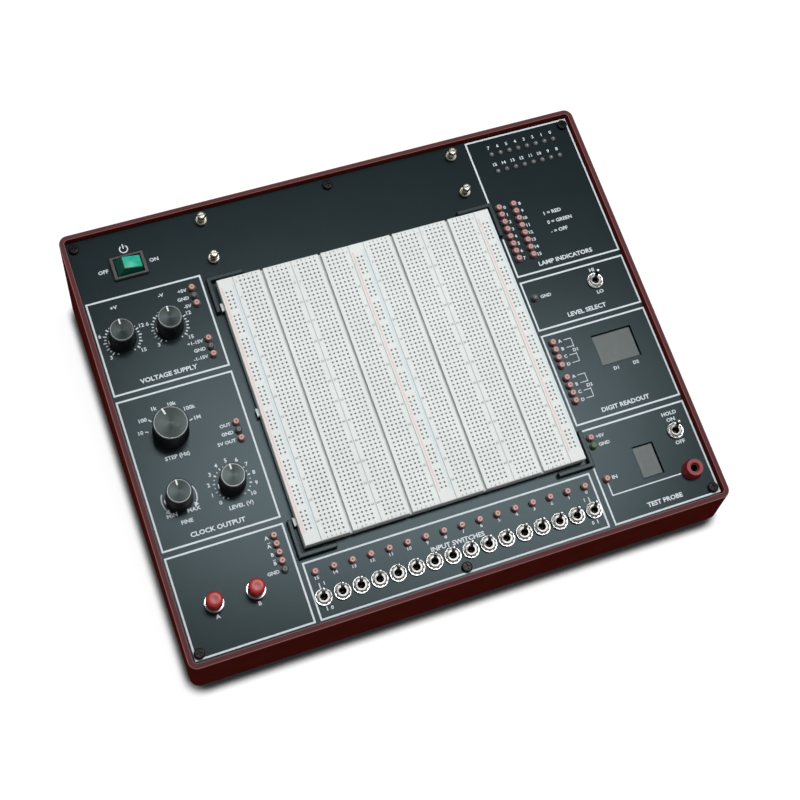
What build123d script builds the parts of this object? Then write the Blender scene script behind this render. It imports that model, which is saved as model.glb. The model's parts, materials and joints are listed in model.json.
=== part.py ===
from build123d import *
from math import cos, radians, sin
import os

# Digital logic trainer: a desk-shaped case, lower at the front, and a printed front panel that
# carries knobs, toggle switches, push buttons, wire terminals, lamps and digit windows, and a
# solderless breadboard that lifts out of four corner guides.
# Millimetres. X runs along the front edge, Y towards the back, Z up.
# The origin is the middle of the case, on the surface that the feet stand on.
# The pieces on the panel are drawn lying flat, with the case's rim at z = 0, and then set on
# the slope.

# ---- Case
CASE_LENGTH = 327.0  # outside, at the rim
CASE_DEPTH = 263.5  # outside, at the rim, along the slope
CASE_FRONT_HEIGHT = 34.0  # underside to rim, at the front wall
PANEL_SLOPE = 9.0  # degrees
CASE_CORNER_RADIUS = 5.4
CASE_BOTTOM_RADIUS = 4.0
RIM_WALL = 3.0
RIM_ABOVE_PANEL = 4.5
RIM_OUTER_RADIUS = 0.8
RIM_INNER_RADIUS = 0.5
LEDGE_WIDTH = 1.2
FLOOR_THICKNESS = 3.0
BOSS_RADIUS = 3.0
BOSS_RIB = 2.4
BOSS_HOLE_DEPTH = 14.0

# ---- Feet
FOOT_HEIGHT = 4.0
FOOT_RADIUS = 7.0
FOOT_EDGE_RADIUS = 1.0
FOOT_STEM_RADIUS = 2.4
FOOT_BARB_RADIUS = 3.4
FOOT_BARB_HEIGHT = 1.6
FOOT_INSET = 24.0

# ---- Panel
PANEL_THICKNESS = 1.5
PANEL_EDGE_GAP = 0.3
PANEL_SCREW_INSET_X = 7.6
PANEL_SCREW_INSET_Y = 8.25
SCREW_HEAD_RADIUS = 3.1
SCREW_HEAD_HEIGHT = 2.2
SCREW_SHANK_RADIUS = 1.4
SCREW_LENGTH = 11.0

# ---- Fits
SLIP = 0.05  # radial, a neck or bushing in its hole
RUNNING = 0.05  # radial, a shaft or pin that turns
SNUG = 0.02  # radial, pressed or screwed together
SWING = 0.35  # a moving piece clear of a fixed one

# ---- Circuit board behind the panel
BOARD_DROP = 9.0  # panel underside to the board's top face
BOARD_THICKNESS = 1.6
BOARD_LENGTH_MARGIN = 11.5  # case side to board edge
BOARD_DEPTH_MARGIN_FRONT = 10.25
BOARD_DEPTH_MARGIN_BACK = 6.6
BOARD_CLEARANCE = 1.0

# ---- Toggle switches
SWITCH_PITCH = 10.965
DATA_SWITCHES = 16
TOGGLE_BODY_WIDTH = 6.9
TOGGLE_BODY_LENGTH = 12.0
BUSHING_RADIUS = 3.2
BUSHING_ABOVE_PANEL = 2.4
BUSHING_BORE = 2.2
DRESS_NUT_RADIUS = 4.95
DRESS_NUT_SIDES = 10
DRESS_NUT_HEIGHT = 1.6
LEVER_TILT = 12.5
LEVER_PIVOT_DEPTH = 0.4  # below the panel top
LEVER_LENGTH = 12.7  # pivot to tip
LEVER_ROOT_RADIUS = 0.85
LEVER_TIP_RADIUS = 1.15

# ---- Potentiometers, rotary switch and their knobs
KNOB_SHAFT_RADIUS = 3.0
KNOB_GAP = 0.6  # panel to the knob's skirt
SHAFT_BELOW_PANEL = 6.0
SHAFT_IN_KNOB = 7.5
POT_BODY_RADIUS = 8.5
POT_BODY_GAP = 0.6  # above the circuit board
POT_BUSHING_WALL = 0.45
POT_NUT_WALL = 1.5
POT_KNOB_BASE_RADIUS = 7.8
POT_KNOB_TOP_RADIUS = 7.2
POT_KNOB_TOP = 15.3  # above the panel
POT_TAB_RADIUS = 7.6
ROTARY_BODY_RADIUS = 13.0
ROTARY_BODY_GAP = 0.4  # above the circuit board
ROTARY_BUSHING_WALL = 1.45
ROTARY_NUT_WALL = 2.0
ROTARY_KNOB_BASE_RADIUS = 10.4
ROTARY_KNOB_TOP_RADIUS = 10.0
ROTARY_KNOB_TOP = 17.0
ROTARY_TAB_RADIUS = 11.8
BUSHING_NUT_HEIGHT = 2.2
BUSHING_NUT_CLEAR = 2.6  # bushing height past the nut
TAB_WIDTH = 2.4
TAB_THICKNESS = 1.2

# ---- Wire terminals
TERMINAL_PITCH = 5.0
TERMINAL_COLLAR_RADIUS = 2.3
TERMINAL_COLLAR_HEIGHT = 1.4
TERMINAL_DOME_RADIUS = 2.0
TERMINAL_HEIGHT = 3.0
TERMINAL_NECK_RADIUS = 1.75
TERMINAL_NECK_BELOW = 1.5
TERMINAL_HOLE_RADIUS = 0.55
CONTACT_RADIUS = 0.95
CONTACT_BORE = 0.5
CONTACT_BORE_DEPTH = 8.0

# ---- Push buttons
BUTTON_CAP_RADIUS = 4.65
BUTTON_TOP = 12.5
BUTTON_CAP_HEIGHT = 8.4
BUTTON_TRAVEL = 3.0
BUTTON_RING_WALL = 0.35
BUTTON_RING_HEIGHT = 2.0
BUTTON_FLOOR = 0.5
BUTTON_NECK_WALL = 1.65
BUTTON_STEM_RADIUS = 1.7
BUTTON_STEM_BELOW = 4.0  # stem end below the panel top, at rest
BUTTON_BODY_SIDE = 9.5

# ---- Power rocker
ROCKER_BEZEL_END = 1.1  # bezel past the body at each end
ROCKER_BEZEL_SIDE = 1.05
ROCKER_BEZEL_HEIGHT = 2.0
ROCKER_END_WALL = 1.2
ROCKER_SIDE_WALL = 0.6
ROCKER_BODY_DEPTH = 14.0  # below the panel top
ROCKER_FLOOR = 1.5
ROCKER_HALF_ANGLE = 17.4
ROCKER_PIVOT_DEPTH = 0.63
ROCKER_TOP_LENGTH = 11.8
ROCKER_TOP_WIDTH = 8.2
ROCKER_TOP_HEIGHT = 6.7  # above the pivot
ROCKER_SWING_RADIUS = 7.85
ROCKER_WIDTH = 11.0
ROCKER_BELLY_DEPTH = 4.0
ROCKER_PIN_RADIUS = 1.0

# ---- Lamps and digit windows
LAMP_COUNT = 8
LAMP_PITCH = 5.966
LAMP_RADIUS = 1.5
LAMP_FLANGE_RADIUS = 1.9
LAMP_FLANGE_HEIGHT = 1.0
LAMP_TOP = 2.4  # above the panel
LAMP_LEAD = 0.5
LAMP_LEAD_SPACING = 2.54
DIGIT_FACE_RISE = 0.4  # face above the panel underside
DIGIT_DEPTH = 19.0
DIGIT_PAIR_LENGTH = 25.0
DIGIT_SINGLE_LENGTH = 12.6
DIGIT_GAP_X = 0.5
DIGIT_GAP_Y = 0.5

# ---- Breadboard
STRIP_LENGTH = 165.1
SOCKET_STRIP_WIDTH = 35.6
BUS_STRIP_WIDTH = 9.5
STRIP_HEIGHT = 7.0
STRIP_JOINT = 0.1
BACKING_THICKNESS = 1.0
GROOVE_WIDTH = 1.8
GROOVE_DEPTH = 3.0
STRIP_EDGE_RADIUS = 0.4
DOVETAIL_OUT = 1.7
DOVETAIL_WIDTH = 5.0
DOVETAIL_HEIGHT = 2.0
DOVETAIL_SPACING = 67.0
BREADBOARD_X = 1.6
BREADBOARD_Y = -3.4
GUIDE_LEG = 22.5
GUIDE_THICKNESS = 2.5
GUIDE_HEIGHT = 4.0
GUIDE_GAP = 2.35

# ---- Slotted posts
POST_SPACING_X = 159.6
POST_COLLAR_RADIUS = 3.5
POST_COLLAR_HEIGHT = 2.4
POST_SHANK_RADIUS = 1.45
POST_HEAD_RADIUS = 2.45
POST_HEAD_HEIGHT = 1.9
POST_TOP = 8.4
POST_BELOW_BOARD = 2.0
POST_SLOT = 0.6
STANDOFF_FLATS = 5.5

# ---- Banana socket
JACK_BASE_RADIUS = 6.0
JACK_TOP_RADIUS = 4.95
JACK_HEIGHT = 6.6
JACK_RIM_HEIGHT = 1.2
JACK_NECK_WALL = 1.4
JACK_BELOW_PANEL = 12.0
JACK_NUT_FLATS = 11.0
JACK_NUT_HEIGHT = 2.5
JACK_SLEEVE_WALL = 0.6
JACK_BORE_RADIUS = 2.0
JACK_SLEEVE_SUNK = 1.8
JACK_LIP = 0.3  # plastic over the sleeve's end
JACK_MOUTH_RADIUS = 2.9
JACK_MOUTH_DEPTH = 1.2
JACK_TAG_LENGTH = 3.0

# ---- Mains inlet and transformer
INLET_FLANGE_LENGTH = 30.5
INLET_FLANGE_HEIGHT = 33.5
INLET_FLANGE_THICKNESS = 2.0
INLET_BODY_LENGTH = 27.0
INLET_BODY_HEIGHT = 30.0
INLET_BODY_DEPTH = 23.0
INLET_SOCKET_LENGTH = 24.4
INLET_SOCKET_HEIGHT = 16.4
INLET_SOCKET_DEPTH = 16.0
INLET_SOCKET_DROP = 5.5  # socket centre below the flange centre
INLET_DRAWER_LENGTH = 22.0
INLET_DRAWER_HEIGHT = 7.0
INLET_DRAWER_SUNK = 0.5
INLET_DRAWER_RISE = 10.0  # drawer centre above the flange centre
INLET_PIN_SPACING = 7.0
INLET_PIN_WIDTH = 2.0
INLET_PIN_HEIGHT = 4.0
INLET_PIN_OFFSET = 2.0
INLET_PIN_SHORT = 2.0  # pin tip behind the flange face
INLET_TAB_LENGTH = 8.0
INLET_SUNK = 0.3  # flange face behind the back wall's face
INLET_PAD = 3.0
INLET_PAD_MARGIN = 3.0
CORE_LENGTH = 54.0
CORE_DEPTH = 20.0
CORE_HEIGHT = 36.0
COIL_LENGTH = 34.0
COIL_DEPTH = 40.0
COIL_HEIGHT = 27.0
CORE_FOOT_LENGTH = 72.0
CORE_FOOT_THICKNESS = 1.5
CORE_FOOT_HOLE = 2.0


# ---- Sizes that follow from the ones above
POT_BODY_HEIGHT = BOARD_DROP - POT_BODY_GAP
POT_BUSHING_RADIUS = KNOB_SHAFT_RADIUS + RUNNING + POT_BUSHING_WALL
POT_NUT_FLATS = 2 * (POT_BUSHING_RADIUS + POT_NUT_WALL)
ROTARY_BODY_HEIGHT = BOARD_DROP - ROTARY_BODY_GAP
ROTARY_BUSHING_RADIUS = KNOB_SHAFT_RADIUS + RUNNING + ROTARY_BUSHING_WALL
ROTARY_NUT_FLATS = 2 * (ROTARY_BUSHING_RADIUS + ROTARY_NUT_WALL)
BUTTON_RING_RADIUS = BUTTON_CAP_RADIUS + SWING + BUTTON_RING_WALL
BUTTON_NECK_RADIUS = BUTTON_STEM_RADIUS + RUNNING + BUTTON_NECK_WALL
ROCKER_BODY_LENGTH = 2 * (ROCKER_SWING_RADIUS + SWING + ROCKER_END_WALL)
ROCKER_BODY_WIDTH = ROCKER_WIDTH + 2 * (SWING + ROCKER_SIDE_WALL)
ROCKER_BEZEL_LENGTH = ROCKER_BODY_LENGTH + 2 * ROCKER_BEZEL_END
ROCKER_BEZEL_WIDTH = ROCKER_BODY_WIDTH + 2 * ROCKER_BEZEL_SIDE
DIGIT_HEIGHT = BOARD_DROP + DIGIT_FACE_RISE
JACK_SLEEVE_RADIUS = JACK_BORE_RADIUS + JACK_SLEEVE_WALL
JACK_NECK_RADIUS = JACK_SLEEVE_RADIUS + JACK_NECK_WALL
BASE_DEPTH = CASE_DEPTH * cos(radians(PANEL_SLOPE))


# Places are given from the edge that they keep to, or from the middle of the case.
def from_left(distance):
    return distance - CASE_LENGTH / 2


def from_right(distance):
    return CASE_LENGTH / 2 - distance


def from_front(distance):
    return distance - CASE_DEPTH / 2


def from_back(distance):
    return CASE_DEPTH / 2 - distance


# ---- Levels over the bench
CASE_BOTTOM_Z = FOOT_HEIGHT
FLOOR_Z = CASE_BOTTOM_Z + FLOOR_THICKNESS
RIM_MIDDLE_Z = CASE_BOTTOM_Z + CASE_FRONT_HEIGHT + CASE_DEPTH / 2 * sin(radians(PANEL_SLOPE))
ON_SLOPE = Pos(0, 0, RIM_MIDDLE_Z) * Rot(PANEL_SLOPE, 0, 0)

# ---- Levels from the rim, square to the panel
PANEL_Z = -RIM_ABOVE_PANEL
PANEL_UNDER_Z = PANEL_Z - PANEL_THICKNESS
BOARD_Z = PANEL_UNDER_Z - BOARD_DROP
LEVER_PIVOT_Z = PANEL_Z - LEVER_PIVOT_DEPTH
ROCKER_PIVOT_Z = PANEL_Z - ROCKER_PIVOT_DEPTH

# ---- Layout
POTS = {
    "positive_volts": (from_left(19.1), 62.4),
    "negative_volts": (from_left(47.1), 62.4),
    "clock_rate": (from_left(22.4), -37.2),
    "clock_level": (from_left(53.2), -37.2),
}
ROTARY = (from_left(29.2), 1.3)
ROCKER = (from_left(35.1), from_back(26.75))
BUTTONS = {
    "pulse_button_a": (from_left(23.2), from_front(32.1)),
    "pulse_button_b": (from_left(47.1), from_front(32.1)),
}
JACK = (from_right(15.6), from_front(21.85))
DIGIT_PAIR = (from_right(29.6), -24.05)
DIGIT_SINGLE = (from_right(38.45), from_front(35.45))
INLET_X = from_left(58.0)
INLET_Z = CASE_BOTTOM_Z + 28.0
TRANSFORMER = (from_left(70.0), from_back(65.0))

DATA_X = [(i - (DATA_SWITCHES - 1) / 2) * SWITCH_PITCH for i in range(DATA_SWITCHES)]
TOGGLES = {
    f"data_lever_{DATA_SWITCHES - 1 - i}": (x, from_front(16.85))
    for i, x in enumerate(DATA_X)
}
TOGGLES["mode_lever"] = (from_right(26.9), 18.5)
TOGGLES["memory_lever"] = (from_right(16.0), from_front(47.25))


def column(x, first_y, count):
    return [(x, first_y - i * TERMINAL_PITCH) for i in range(count)]


LEFT_TERMINALS_X = from_left(65.8)
RIGHT_TERMINALS_X = from_right(66.9)
LAMP_TERMINALS_X = (from_right(67.1), from_right(57.5))
PLUS_TERMINALS = column(LEFT_TERMINALS_X, 81.6, 3)
MINUS_TERMINALS = column(LEFT_TERMINALS_X, 48.8, 3)
CLOCK_TERMINALS = column(LEFT_TERMINALS_X, -4.1, 3)
PULSE_TERMINALS = column(LEFT_TERMINALS_X, from_front(58.25), 5)
LAMP_TERMINALS = [p for x in LAMP_TERMINALS_X for p in column(x, 80.2, LAMP_COUNT)]
DIGIT_TERMINALS = column(RIGHT_TERMINALS_X, -11.6, 4) + column(RIGHT_TERMINALS_X, -34.8, 4)
PROBE_TERMINALS = column(RIGHT_TERMINALS_X, from_front(58.05), 2)
INPUT_TERMINAL = (RIGHT_TERMINALS_X, from_front(32.05))
DATA_TERMINALS = [(x, from_front(31.85)) for x in DATA_X]
GROUND_TERMINALS = [
    PLUS_TERMINALS[1],
    MINUS_TERMINALS[1],
    CLOCK_TERMINALS[1],
    PULSE_TERMINALS[4],
    PROBE_TERMINALS[1],
    (RIGHT_TERMINALS_X, 18.4),
]
ALL_TERMINALS = (
    PLUS_TERMINALS
    + MINUS_TERMINALS
    + CLOCK_TERMINALS
    + PULSE_TERMINALS
    + LAMP_TERMINALS
    + DIGIT_TERMINALS
    + PROBE_TERMINALS
    + [INPUT_TERMINAL]
    + DATA_TERMINALS
    + GROUND_TERMINALS[-1:]
)
RED_TERMINALS = [p for p in ALL_TERMINALS if p not in GROUND_TERMINALS]

LAMPS = [
    (from_right(58.5) + i * LAMP_PITCH, from_back(row))
    for row in (16.05, 27.75)
    for i in range(LAMP_COUNT)
]
POSTS = [
    (side * POST_SPACING_X / 2, from_back(row))
    for row in (10.35, 35.65)
    for side in (-1, 1)
]
PANEL_SCREWS = [
    (x, y)
    for x in (from_left(PANEL_SCREW_INSET_X), 0.0, from_right(PANEL_SCREW_INSET_X))
    for y in (from_front(PANEL_SCREW_INSET_Y), from_back(PANEL_SCREW_INSET_Y))
]
FEET = [
    (x, y)
    for x in (from_left(FOOT_INSET), from_right(FOOT_INSET))
    for y in (FOOT_INSET - BASE_DEPTH / 2, BASE_DEPTH / 2 - FOOT_INSET)
]


# ---- Helpers
def upright(points):
    """A solid of revolution about Z, from its half outline as (radius, height) points."""
    outline = Polyline(*[(r, 0, z) for r, z in points], close=True)
    return revolve(make_face(outline), Axis.Z)


def block(length, depth, z0, z1):
    size = (length, depth, z1 - z0)
    return Pos(0, 0, z0) * Box(*size, align=(Align.CENTER, Align.CENTER, Align.MIN))


def rod(radius, z0, z1):
    return Pos(0, 0, z0) * Cylinder(radius, z1 - z0, align=(Align.CENTER, Align.CENTER, Align.MIN))


def hexagon(flats, z0, z1):
    face = RegularPolygon(flats / 2, 6, major_radius=False)
    return Pos(0, 0, z0) * extrude(face, amount=z1 - z0)


def copies(shape, places):
    return [Pos(x, y, 0) * shape for x, y in places]


def save(name, *pieces):
    solids = [s for piece in pieces for s in piece.solids()]
    whole = solids[0] if len(solids) == 1 else Compound(children=solids)
    export_step(whole, f"parts/{name}.step")


def save_on_slope(name, *pieces):
    save(name, *[ON_SLOPE * piece for piece in pieces])


def plumb(face, floor_z):
    """A face of the sloped frame drawn straight down to a level over the bench."""
    slope = radians(PANEL_SLOPE)
    body = extrude(face, amount=2 * RIM_MIDDLE_Z, dir=(0, -sin(slope), -cos(slope)))
    room = Pos(0, 0, floor_z) * Box(
        2 * CASE_LENGTH,
        2 * CASE_DEPTH,
        2 * CASE_DEPTH,
        align=(Align.CENTER, Align.CENTER, Align.MIN),
    )
    return body & (ON_SLOPE.inverse() * room)


# ---- Case
def inlet_face_y():
    return BASE_DEPTH / 2 - INLET_SUNK


def screw_boss(x, y):
    """Boss under a panel screw, with ribs that run out into the nearest walls."""
    root = -2 * RIM_MIDDLE_Z
    boss = rod(BOSS_RADIUS, root, PANEL_UNDER_Z)
    side_y = 1 if y > 0 else -1
    rib = block(BOSS_RIB, CASE_LENGTH, root, PANEL_UNDER_Z)
    boss += Pos(0, side_y * CASE_LENGTH / 2, 0) * rib
    if x:
        side_x = 1 if x > 0 else -1
        rib = block(CASE_LENGTH, BOSS_RIB, root, PANEL_UNDER_Z)
        boss += Pos(side_x * CASE_LENGTH / 2, 0, 0) * rib
    return Pos(x, y, 0) * boss


def case():
    outline = RectangleRounded(CASE_LENGTH, CASE_DEPTH, CASE_CORNER_RADIUS)
    shell = plumb(outline, CASE_BOTTOM_Z)
    shell = fillet(shell.edges().group_by(Axis.Z)[-1], RIM_OUTER_RADIUS)
    shell = ON_SLOPE * shell
    shell = fillet(shell.edges().group_by(Axis.Z)[0], CASE_BOTTOM_RADIUS)
    shell = ON_SLOPE.inverse() * shell

    well_length = CASE_LENGTH - 2 * RIM_WALL
    well_depth = CASE_DEPTH - 2 * RIM_WALL
    well_radius = CASE_CORNER_RADIUS - RIM_WALL
    well_face = Pos(0, 0, PANEL_UNDER_Z) * RectangleRounded(well_length, well_depth, well_radius)
    well = extrude(well_face, amount=1 - PANEL_UNDER_Z)
    ledge_face = Pos(0, 0, PANEL_UNDER_Z) * RectangleRounded(
        well_length - 2 * LEDGE_WIDTH,
        well_depth - 2 * LEDGE_WIDTH,
        well_radius - LEDGE_WIDTH,
    )
    shell = shell - well - plumb(ledge_face, FLOOR_Z)
    inner_rim = shell.faces().filter_by(Axis.Z).sort_by(Axis.Z)[-1].inner_wires()[0].edges()
    shell = fillet(inner_rim, RIM_INNER_RADIUS)

    wall = RIM_WALL + LEDGE_WIDTH
    mid_wall = RectangleRounded(CASE_LENGTH - wall, CASE_DEPTH - wall, well_radius)
    inside = plumb(mid_wall, CASE_BOTTOM_Z + FLOOR_THICKNESS / 2)
    for x, y in PANEL_SCREWS:
        shell += screw_boss(x, y) & inside
    pilot = rod(SCREW_SHANK_RADIUS + SNUG, PANEL_UNDER_Z - BOSS_HOLE_DEPTH, PANEL_UNDER_Z)
    shell -= copies(pilot, PANEL_SCREWS)
    shell = ON_SLOPE * shell
    shell -= copies(rod(FOOT_STEM_RADIUS + SLIP, 0, FLOOR_Z), FEET)

    seat_y = inlet_face_y() - INLET_FLANGE_THICKNESS
    pad = Box(
        INLET_FLANGE_LENGTH + 2 * INLET_PAD_MARGIN,
        BASE_DEPTH / 2 - RIM_WALL - seat_y + INLET_PAD,
        INLET_FLANGE_HEIGHT + 2 * INLET_PAD_MARGIN,
        align=(Align.CENTER, Align.MIN, Align.CENTER),
    )
    shell += Pos(INLET_X, seat_y - INLET_PAD, INLET_Z) * pad
    recess = Box(
        INLET_FLANGE_LENGTH + 2 * SLIP,
        2 * RIM_WALL,
        INLET_FLANGE_HEIGHT + 2 * SLIP,
        align=(Align.CENTER, Align.MIN, Align.CENTER),
    )
    shell -= Pos(INLET_X, seat_y, INLET_Z) * recess
    opening = Box(
        INLET_BODY_LENGTH + 2 * SLIP,
        INLET_BODY_DEPTH,
        INLET_BODY_HEIGHT + 2 * SLIP,
        align=(Align.CENTER, Align.MAX, Align.CENTER),
    )
    shell -= Pos(INLET_X, seat_y, INLET_Z) * opening
    return shell


def foot():
    pad = fillet(rod(FOOT_RADIUS, 0, FOOT_HEIGHT).edges().group_by(Axis.Z)[0], FOOT_EDGE_RADIUS)
    barb = Cone(
        FOOT_BARB_RADIUS,
        FOOT_STEM_RADIUS - 0.6,
        FOOT_BARB_HEIGHT,
        align=(Align.CENTER, Align.CENTER, Align.MIN),
    )
    return pad + rod(FOOT_STEM_RADIUS, FOOT_HEIGHT, FLOOR_Z) + Pos(0, 0, FLOOR_Z) * barb


# ---- Panel
def round_holes(radius, places):
    return [Pos(x, y) * Circle(radius) for x, y in places]


def tab_slot(places, tab_radius):
    slot = Rectangle(TAB_THICKNESS + 2 * SLIP, TAB_WIDTH + 2 * SLIP)
    return [Pos(x - tab_radius, y) * slot for x, y in places]


def front_panel():
    outline = RectangleRounded(
        CASE_LENGTH - 2 * (RIM_WALL + PANEL_EDGE_GAP),
        CASE_DEPTH - 2 * (RIM_WALL + PANEL_EDGE_GAP),
        CASE_CORNER_RADIUS - RIM_WALL - PANEL_EDGE_GAP,
    )
    holes = round_holes(SCREW_SHANK_RADIUS + 4 * SLIP, PANEL_SCREWS)
    holes += round_holes(TERMINAL_NECK_RADIUS + SLIP, ALL_TERMINALS)
    holes += round_holes(BUSHING_RADIUS + SLIP, TOGGLES.values())
    holes += round_holes(POT_BUSHING_RADIUS + SLIP, POTS.values())
    holes += tab_slot(POTS.values(), POT_TAB_RADIUS)
    holes += round_holes(ROTARY_BUSHING_RADIUS + SLIP, [ROTARY])
    holes += tab_slot([ROTARY], ROTARY_TAB_RADIUS)
    holes += round_holes(BUTTON_NECK_RADIUS + SLIP, BUTTONS.values())
    holes += round_holes(LAMP_RADIUS + SLIP, LAMPS)
    holes += round_holes(POST_SHANK_RADIUS + SLIP, POSTS)
    holes += round_holes(JACK_NECK_RADIUS + SLIP, [JACK])
    rocker_hole = Rectangle(ROCKER_BODY_LENGTH + 2 * SLIP, ROCKER_BODY_WIDTH + 2 * SLIP)
    holes.append(Pos(*ROCKER) * rocker_hole)
    for place, length in ((DIGIT_PAIR, DIGIT_PAIR_LENGTH), (DIGIT_SINGLE, DIGIT_SINGLE_LENGTH)):
        window = Rectangle(length + 2 * DIGIT_GAP_X, DIGIT_DEPTH + 2 * DIGIT_GAP_Y)
        holes.append(Pos(*place) * window)
    return Pos(0, 0, PANEL_UNDER_Z) * extrude(outline - holes, amount=PANEL_THICKNESS)


def panel_screw():
    top = PANEL_Z + SCREW_HEAD_HEIGHT
    head = fillet(rod(SCREW_HEAD_RADIUS, PANEL_Z, top).edges().group_by(Axis.Z)[-1], 0.9)
    for turn in (0, 90):
        head -= Rot(0, 0, turn) * block(0.9, 3.6, top - 1.1, top)
    return head + rod(SCREW_SHANK_RADIUS, PANEL_Z - SCREW_LENGTH, PANEL_Z)


# ---- Circuit board
def main_board():
    length = CASE_LENGTH - 2 * BOARD_LENGTH_MARGIN
    front = from_front(BOARD_DEPTH_MARGIN_FRONT)
    back = from_back(BOARD_DEPTH_MARGIN_BACK)
    outline = Pos(0, (front + back) / 2) * Rectangle(length, back - front)
    holes = round_holes(BOSS_RADIUS + BOARD_CLEARANCE, PANEL_SCREWS)
    holes += round_holes(POST_SHANK_RADIUS + SLIP, POSTS)
    holes += round_holes(JACK_NECK_RADIUS + BOARD_CLEARANCE, [JACK])
    rib_room = PANEL_SCREW_INSET_Y
    for x, y in PANEL_SCREWS:
        side_y = 1 if y > 0 else -1
        room = Rectangle(BOSS_RIB + 2 * BOARD_CLEARANCE, rib_room)
        holes.append(Pos(x, y + side_y * rib_room / 2) * room)
    rocker_hole = Rectangle(
        ROCKER_BODY_LENGTH + 2 * BOARD_CLEARANCE,
        ROCKER_BODY_WIDTH + 2 * BOARD_CLEARANCE,
    )
    holes.append(Pos(*ROCKER) * rocker_hole)
    return Pos(0, 0, BOARD_Z) * extrude(outline - holes, amount=-BOARD_THICKNESS)


# ---- Toggle switches
def toggle_body():
    body = block(TOGGLE_BODY_WIDTH, TOGGLE_BODY_LENGTH, BOARD_Z, PANEL_UNDER_Z)
    bushing = rod(BUSHING_RADIUS, PANEL_UNDER_Z, PANEL_Z + BUSHING_ABOVE_PANEL)
    floor = LEVER_PIVOT_Z - BUSHING_BORE
    bore = rod(BUSHING_BORE, floor, PANEL_Z + BUSHING_ABOVE_PANEL)
    return body + bushing - bore


def dress_nut():
    face = RegularPolygon(DRESS_NUT_RADIUS, DRESS_NUT_SIDES) - Circle(BUSHING_RADIUS + SNUG)
    return Pos(0, 0, PANEL_Z) * extrude(face, amount=DRESS_NUT_HEIGHT)


def toggle_lever():
    """Lever on its ball, standing straight up with the pivot at the origin."""
    ball = Sphere(BUSHING_BORE - SWING)
    stem = upright(
        [
            (0, 0),
            (LEVER_ROOT_RADIUS, 0),
            (LEVER_TIP_RADIUS, LEVER_LENGTH - LEVER_TIP_RADIUS),
            (0, LEVER_LENGTH - LEVER_TIP_RADIUS),
        ]
    )
    tip = Pos(0, 0, LEVER_LENGTH - LEVER_TIP_RADIUS) * Sphere(LEVER_TIP_RADIUS)
    return Rot(-LEVER_TILT, 0, 0) * (ball + stem + tip)


# ---- Potentiometers, rotary switch and knobs
def control_body(body_radius, body_height, bushing_radius, tab_radius):
    """Turned control under the panel: body, threaded bushing and locating tab."""
    bushing_top = PANEL_Z + BUSHING_NUT_HEIGHT + BUSHING_NUT_CLEAR
    body = rod(body_radius, PANEL_UNDER_Z - body_height, PANEL_UNDER_Z)
    body += rod(bushing_radius, PANEL_UNDER_Z, bushing_top)
    tab = block(TAB_THICKNESS, TAB_WIDTH, PANEL_UNDER_Z - 1, PANEL_Z)
    body += Pos(-tab_radius, 0, 0) * tab
    bore_floor = PANEL_Z - SHAFT_BELOW_PANEL - SWING
    return body - rod(KNOB_SHAFT_RADIUS + RUNNING, bore_floor, bushing_top)


def bushing_nut(flats, bushing_radius):
    nut = hexagon(flats, PANEL_Z, PANEL_Z + BUSHING_NUT_HEIGHT)
    return nut - rod(bushing_radius + SNUG, PANEL_Z, PANEL_Z + BUSHING_NUT_HEIGHT)


def knob_recess_top():
    return PANEL_Z + BUSHING_NUT_HEIGHT + BUSHING_NUT_CLEAR + SWING


def knob(base_radius, top_radius, top, nut_flats):
    skirt = PANEL_Z + KNOB_GAP
    recess_radius = nut_flats / 2 / cos(radians(30)) + SWING
    recess_top = knob_recess_top()
    bore_top = recess_top + SHAFT_IN_KNOB
    bore = KNOB_SHAFT_RADIUS + SNUG
    edge = 0.6
    return upright(
        [
            (recess_radius, skirt),
            (base_radius, skirt),
            (base_radius, skirt + edge),
            (top_radius, PANEL_Z + top - edge),
            (top_radius - edge, PANEL_Z + top),
            (0, PANEL_Z + top),
            (0, bore_top),
            (bore, bore_top),
            (bore, recess_top),
            (recess_radius, recess_top),
        ]
    )


def knob_shaft():
    return rod(KNOB_SHAFT_RADIUS, PANEL_Z - SHAFT_BELOW_PANEL, knob_recess_top() + SHAFT_IN_KNOB)


# ---- Terminals
def terminal():
    neck_end = PANEL_UNDER_Z - TERMINAL_NECK_BELOW
    lip = PANEL_Z + TERMINAL_COLLAR_HEIGHT
    top = PANEL_Z + TERMINAL_HEIGHT
    bore = CONTACT_RADIUS + SLIP
    crown = 0.6
    return upright(
        [
            (bore, neck_end),
            (TERMINAL_NECK_RADIUS, neck_end),
            (TERMINAL_NECK_RADIUS, PANEL_Z),
            (TERMINAL_COLLAR_RADIUS, PANEL_Z),
            (TERMINAL_COLLAR_RADIUS, lip),
            (TERMINAL_DOME_RADIUS, lip),
            (TERMINAL_DOME_RADIUS, top - crown),
            (TERMINAL_DOME_RADIUS - crown, top),
            (TERMINAL_HOLE_RADIUS, top),
            (TERMINAL_HOLE_RADIUS, lip + SLIP),
            (bore, lip + SLIP),
        ]
    )


def terminal_contact():
    top = PANEL_Z + TERMINAL_COLLAR_HEIGHT
    return rod(CONTACT_RADIUS, BOARD_Z, top) - rod(CONTACT_BORE, top - CONTACT_BORE_DEPTH, top)


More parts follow.
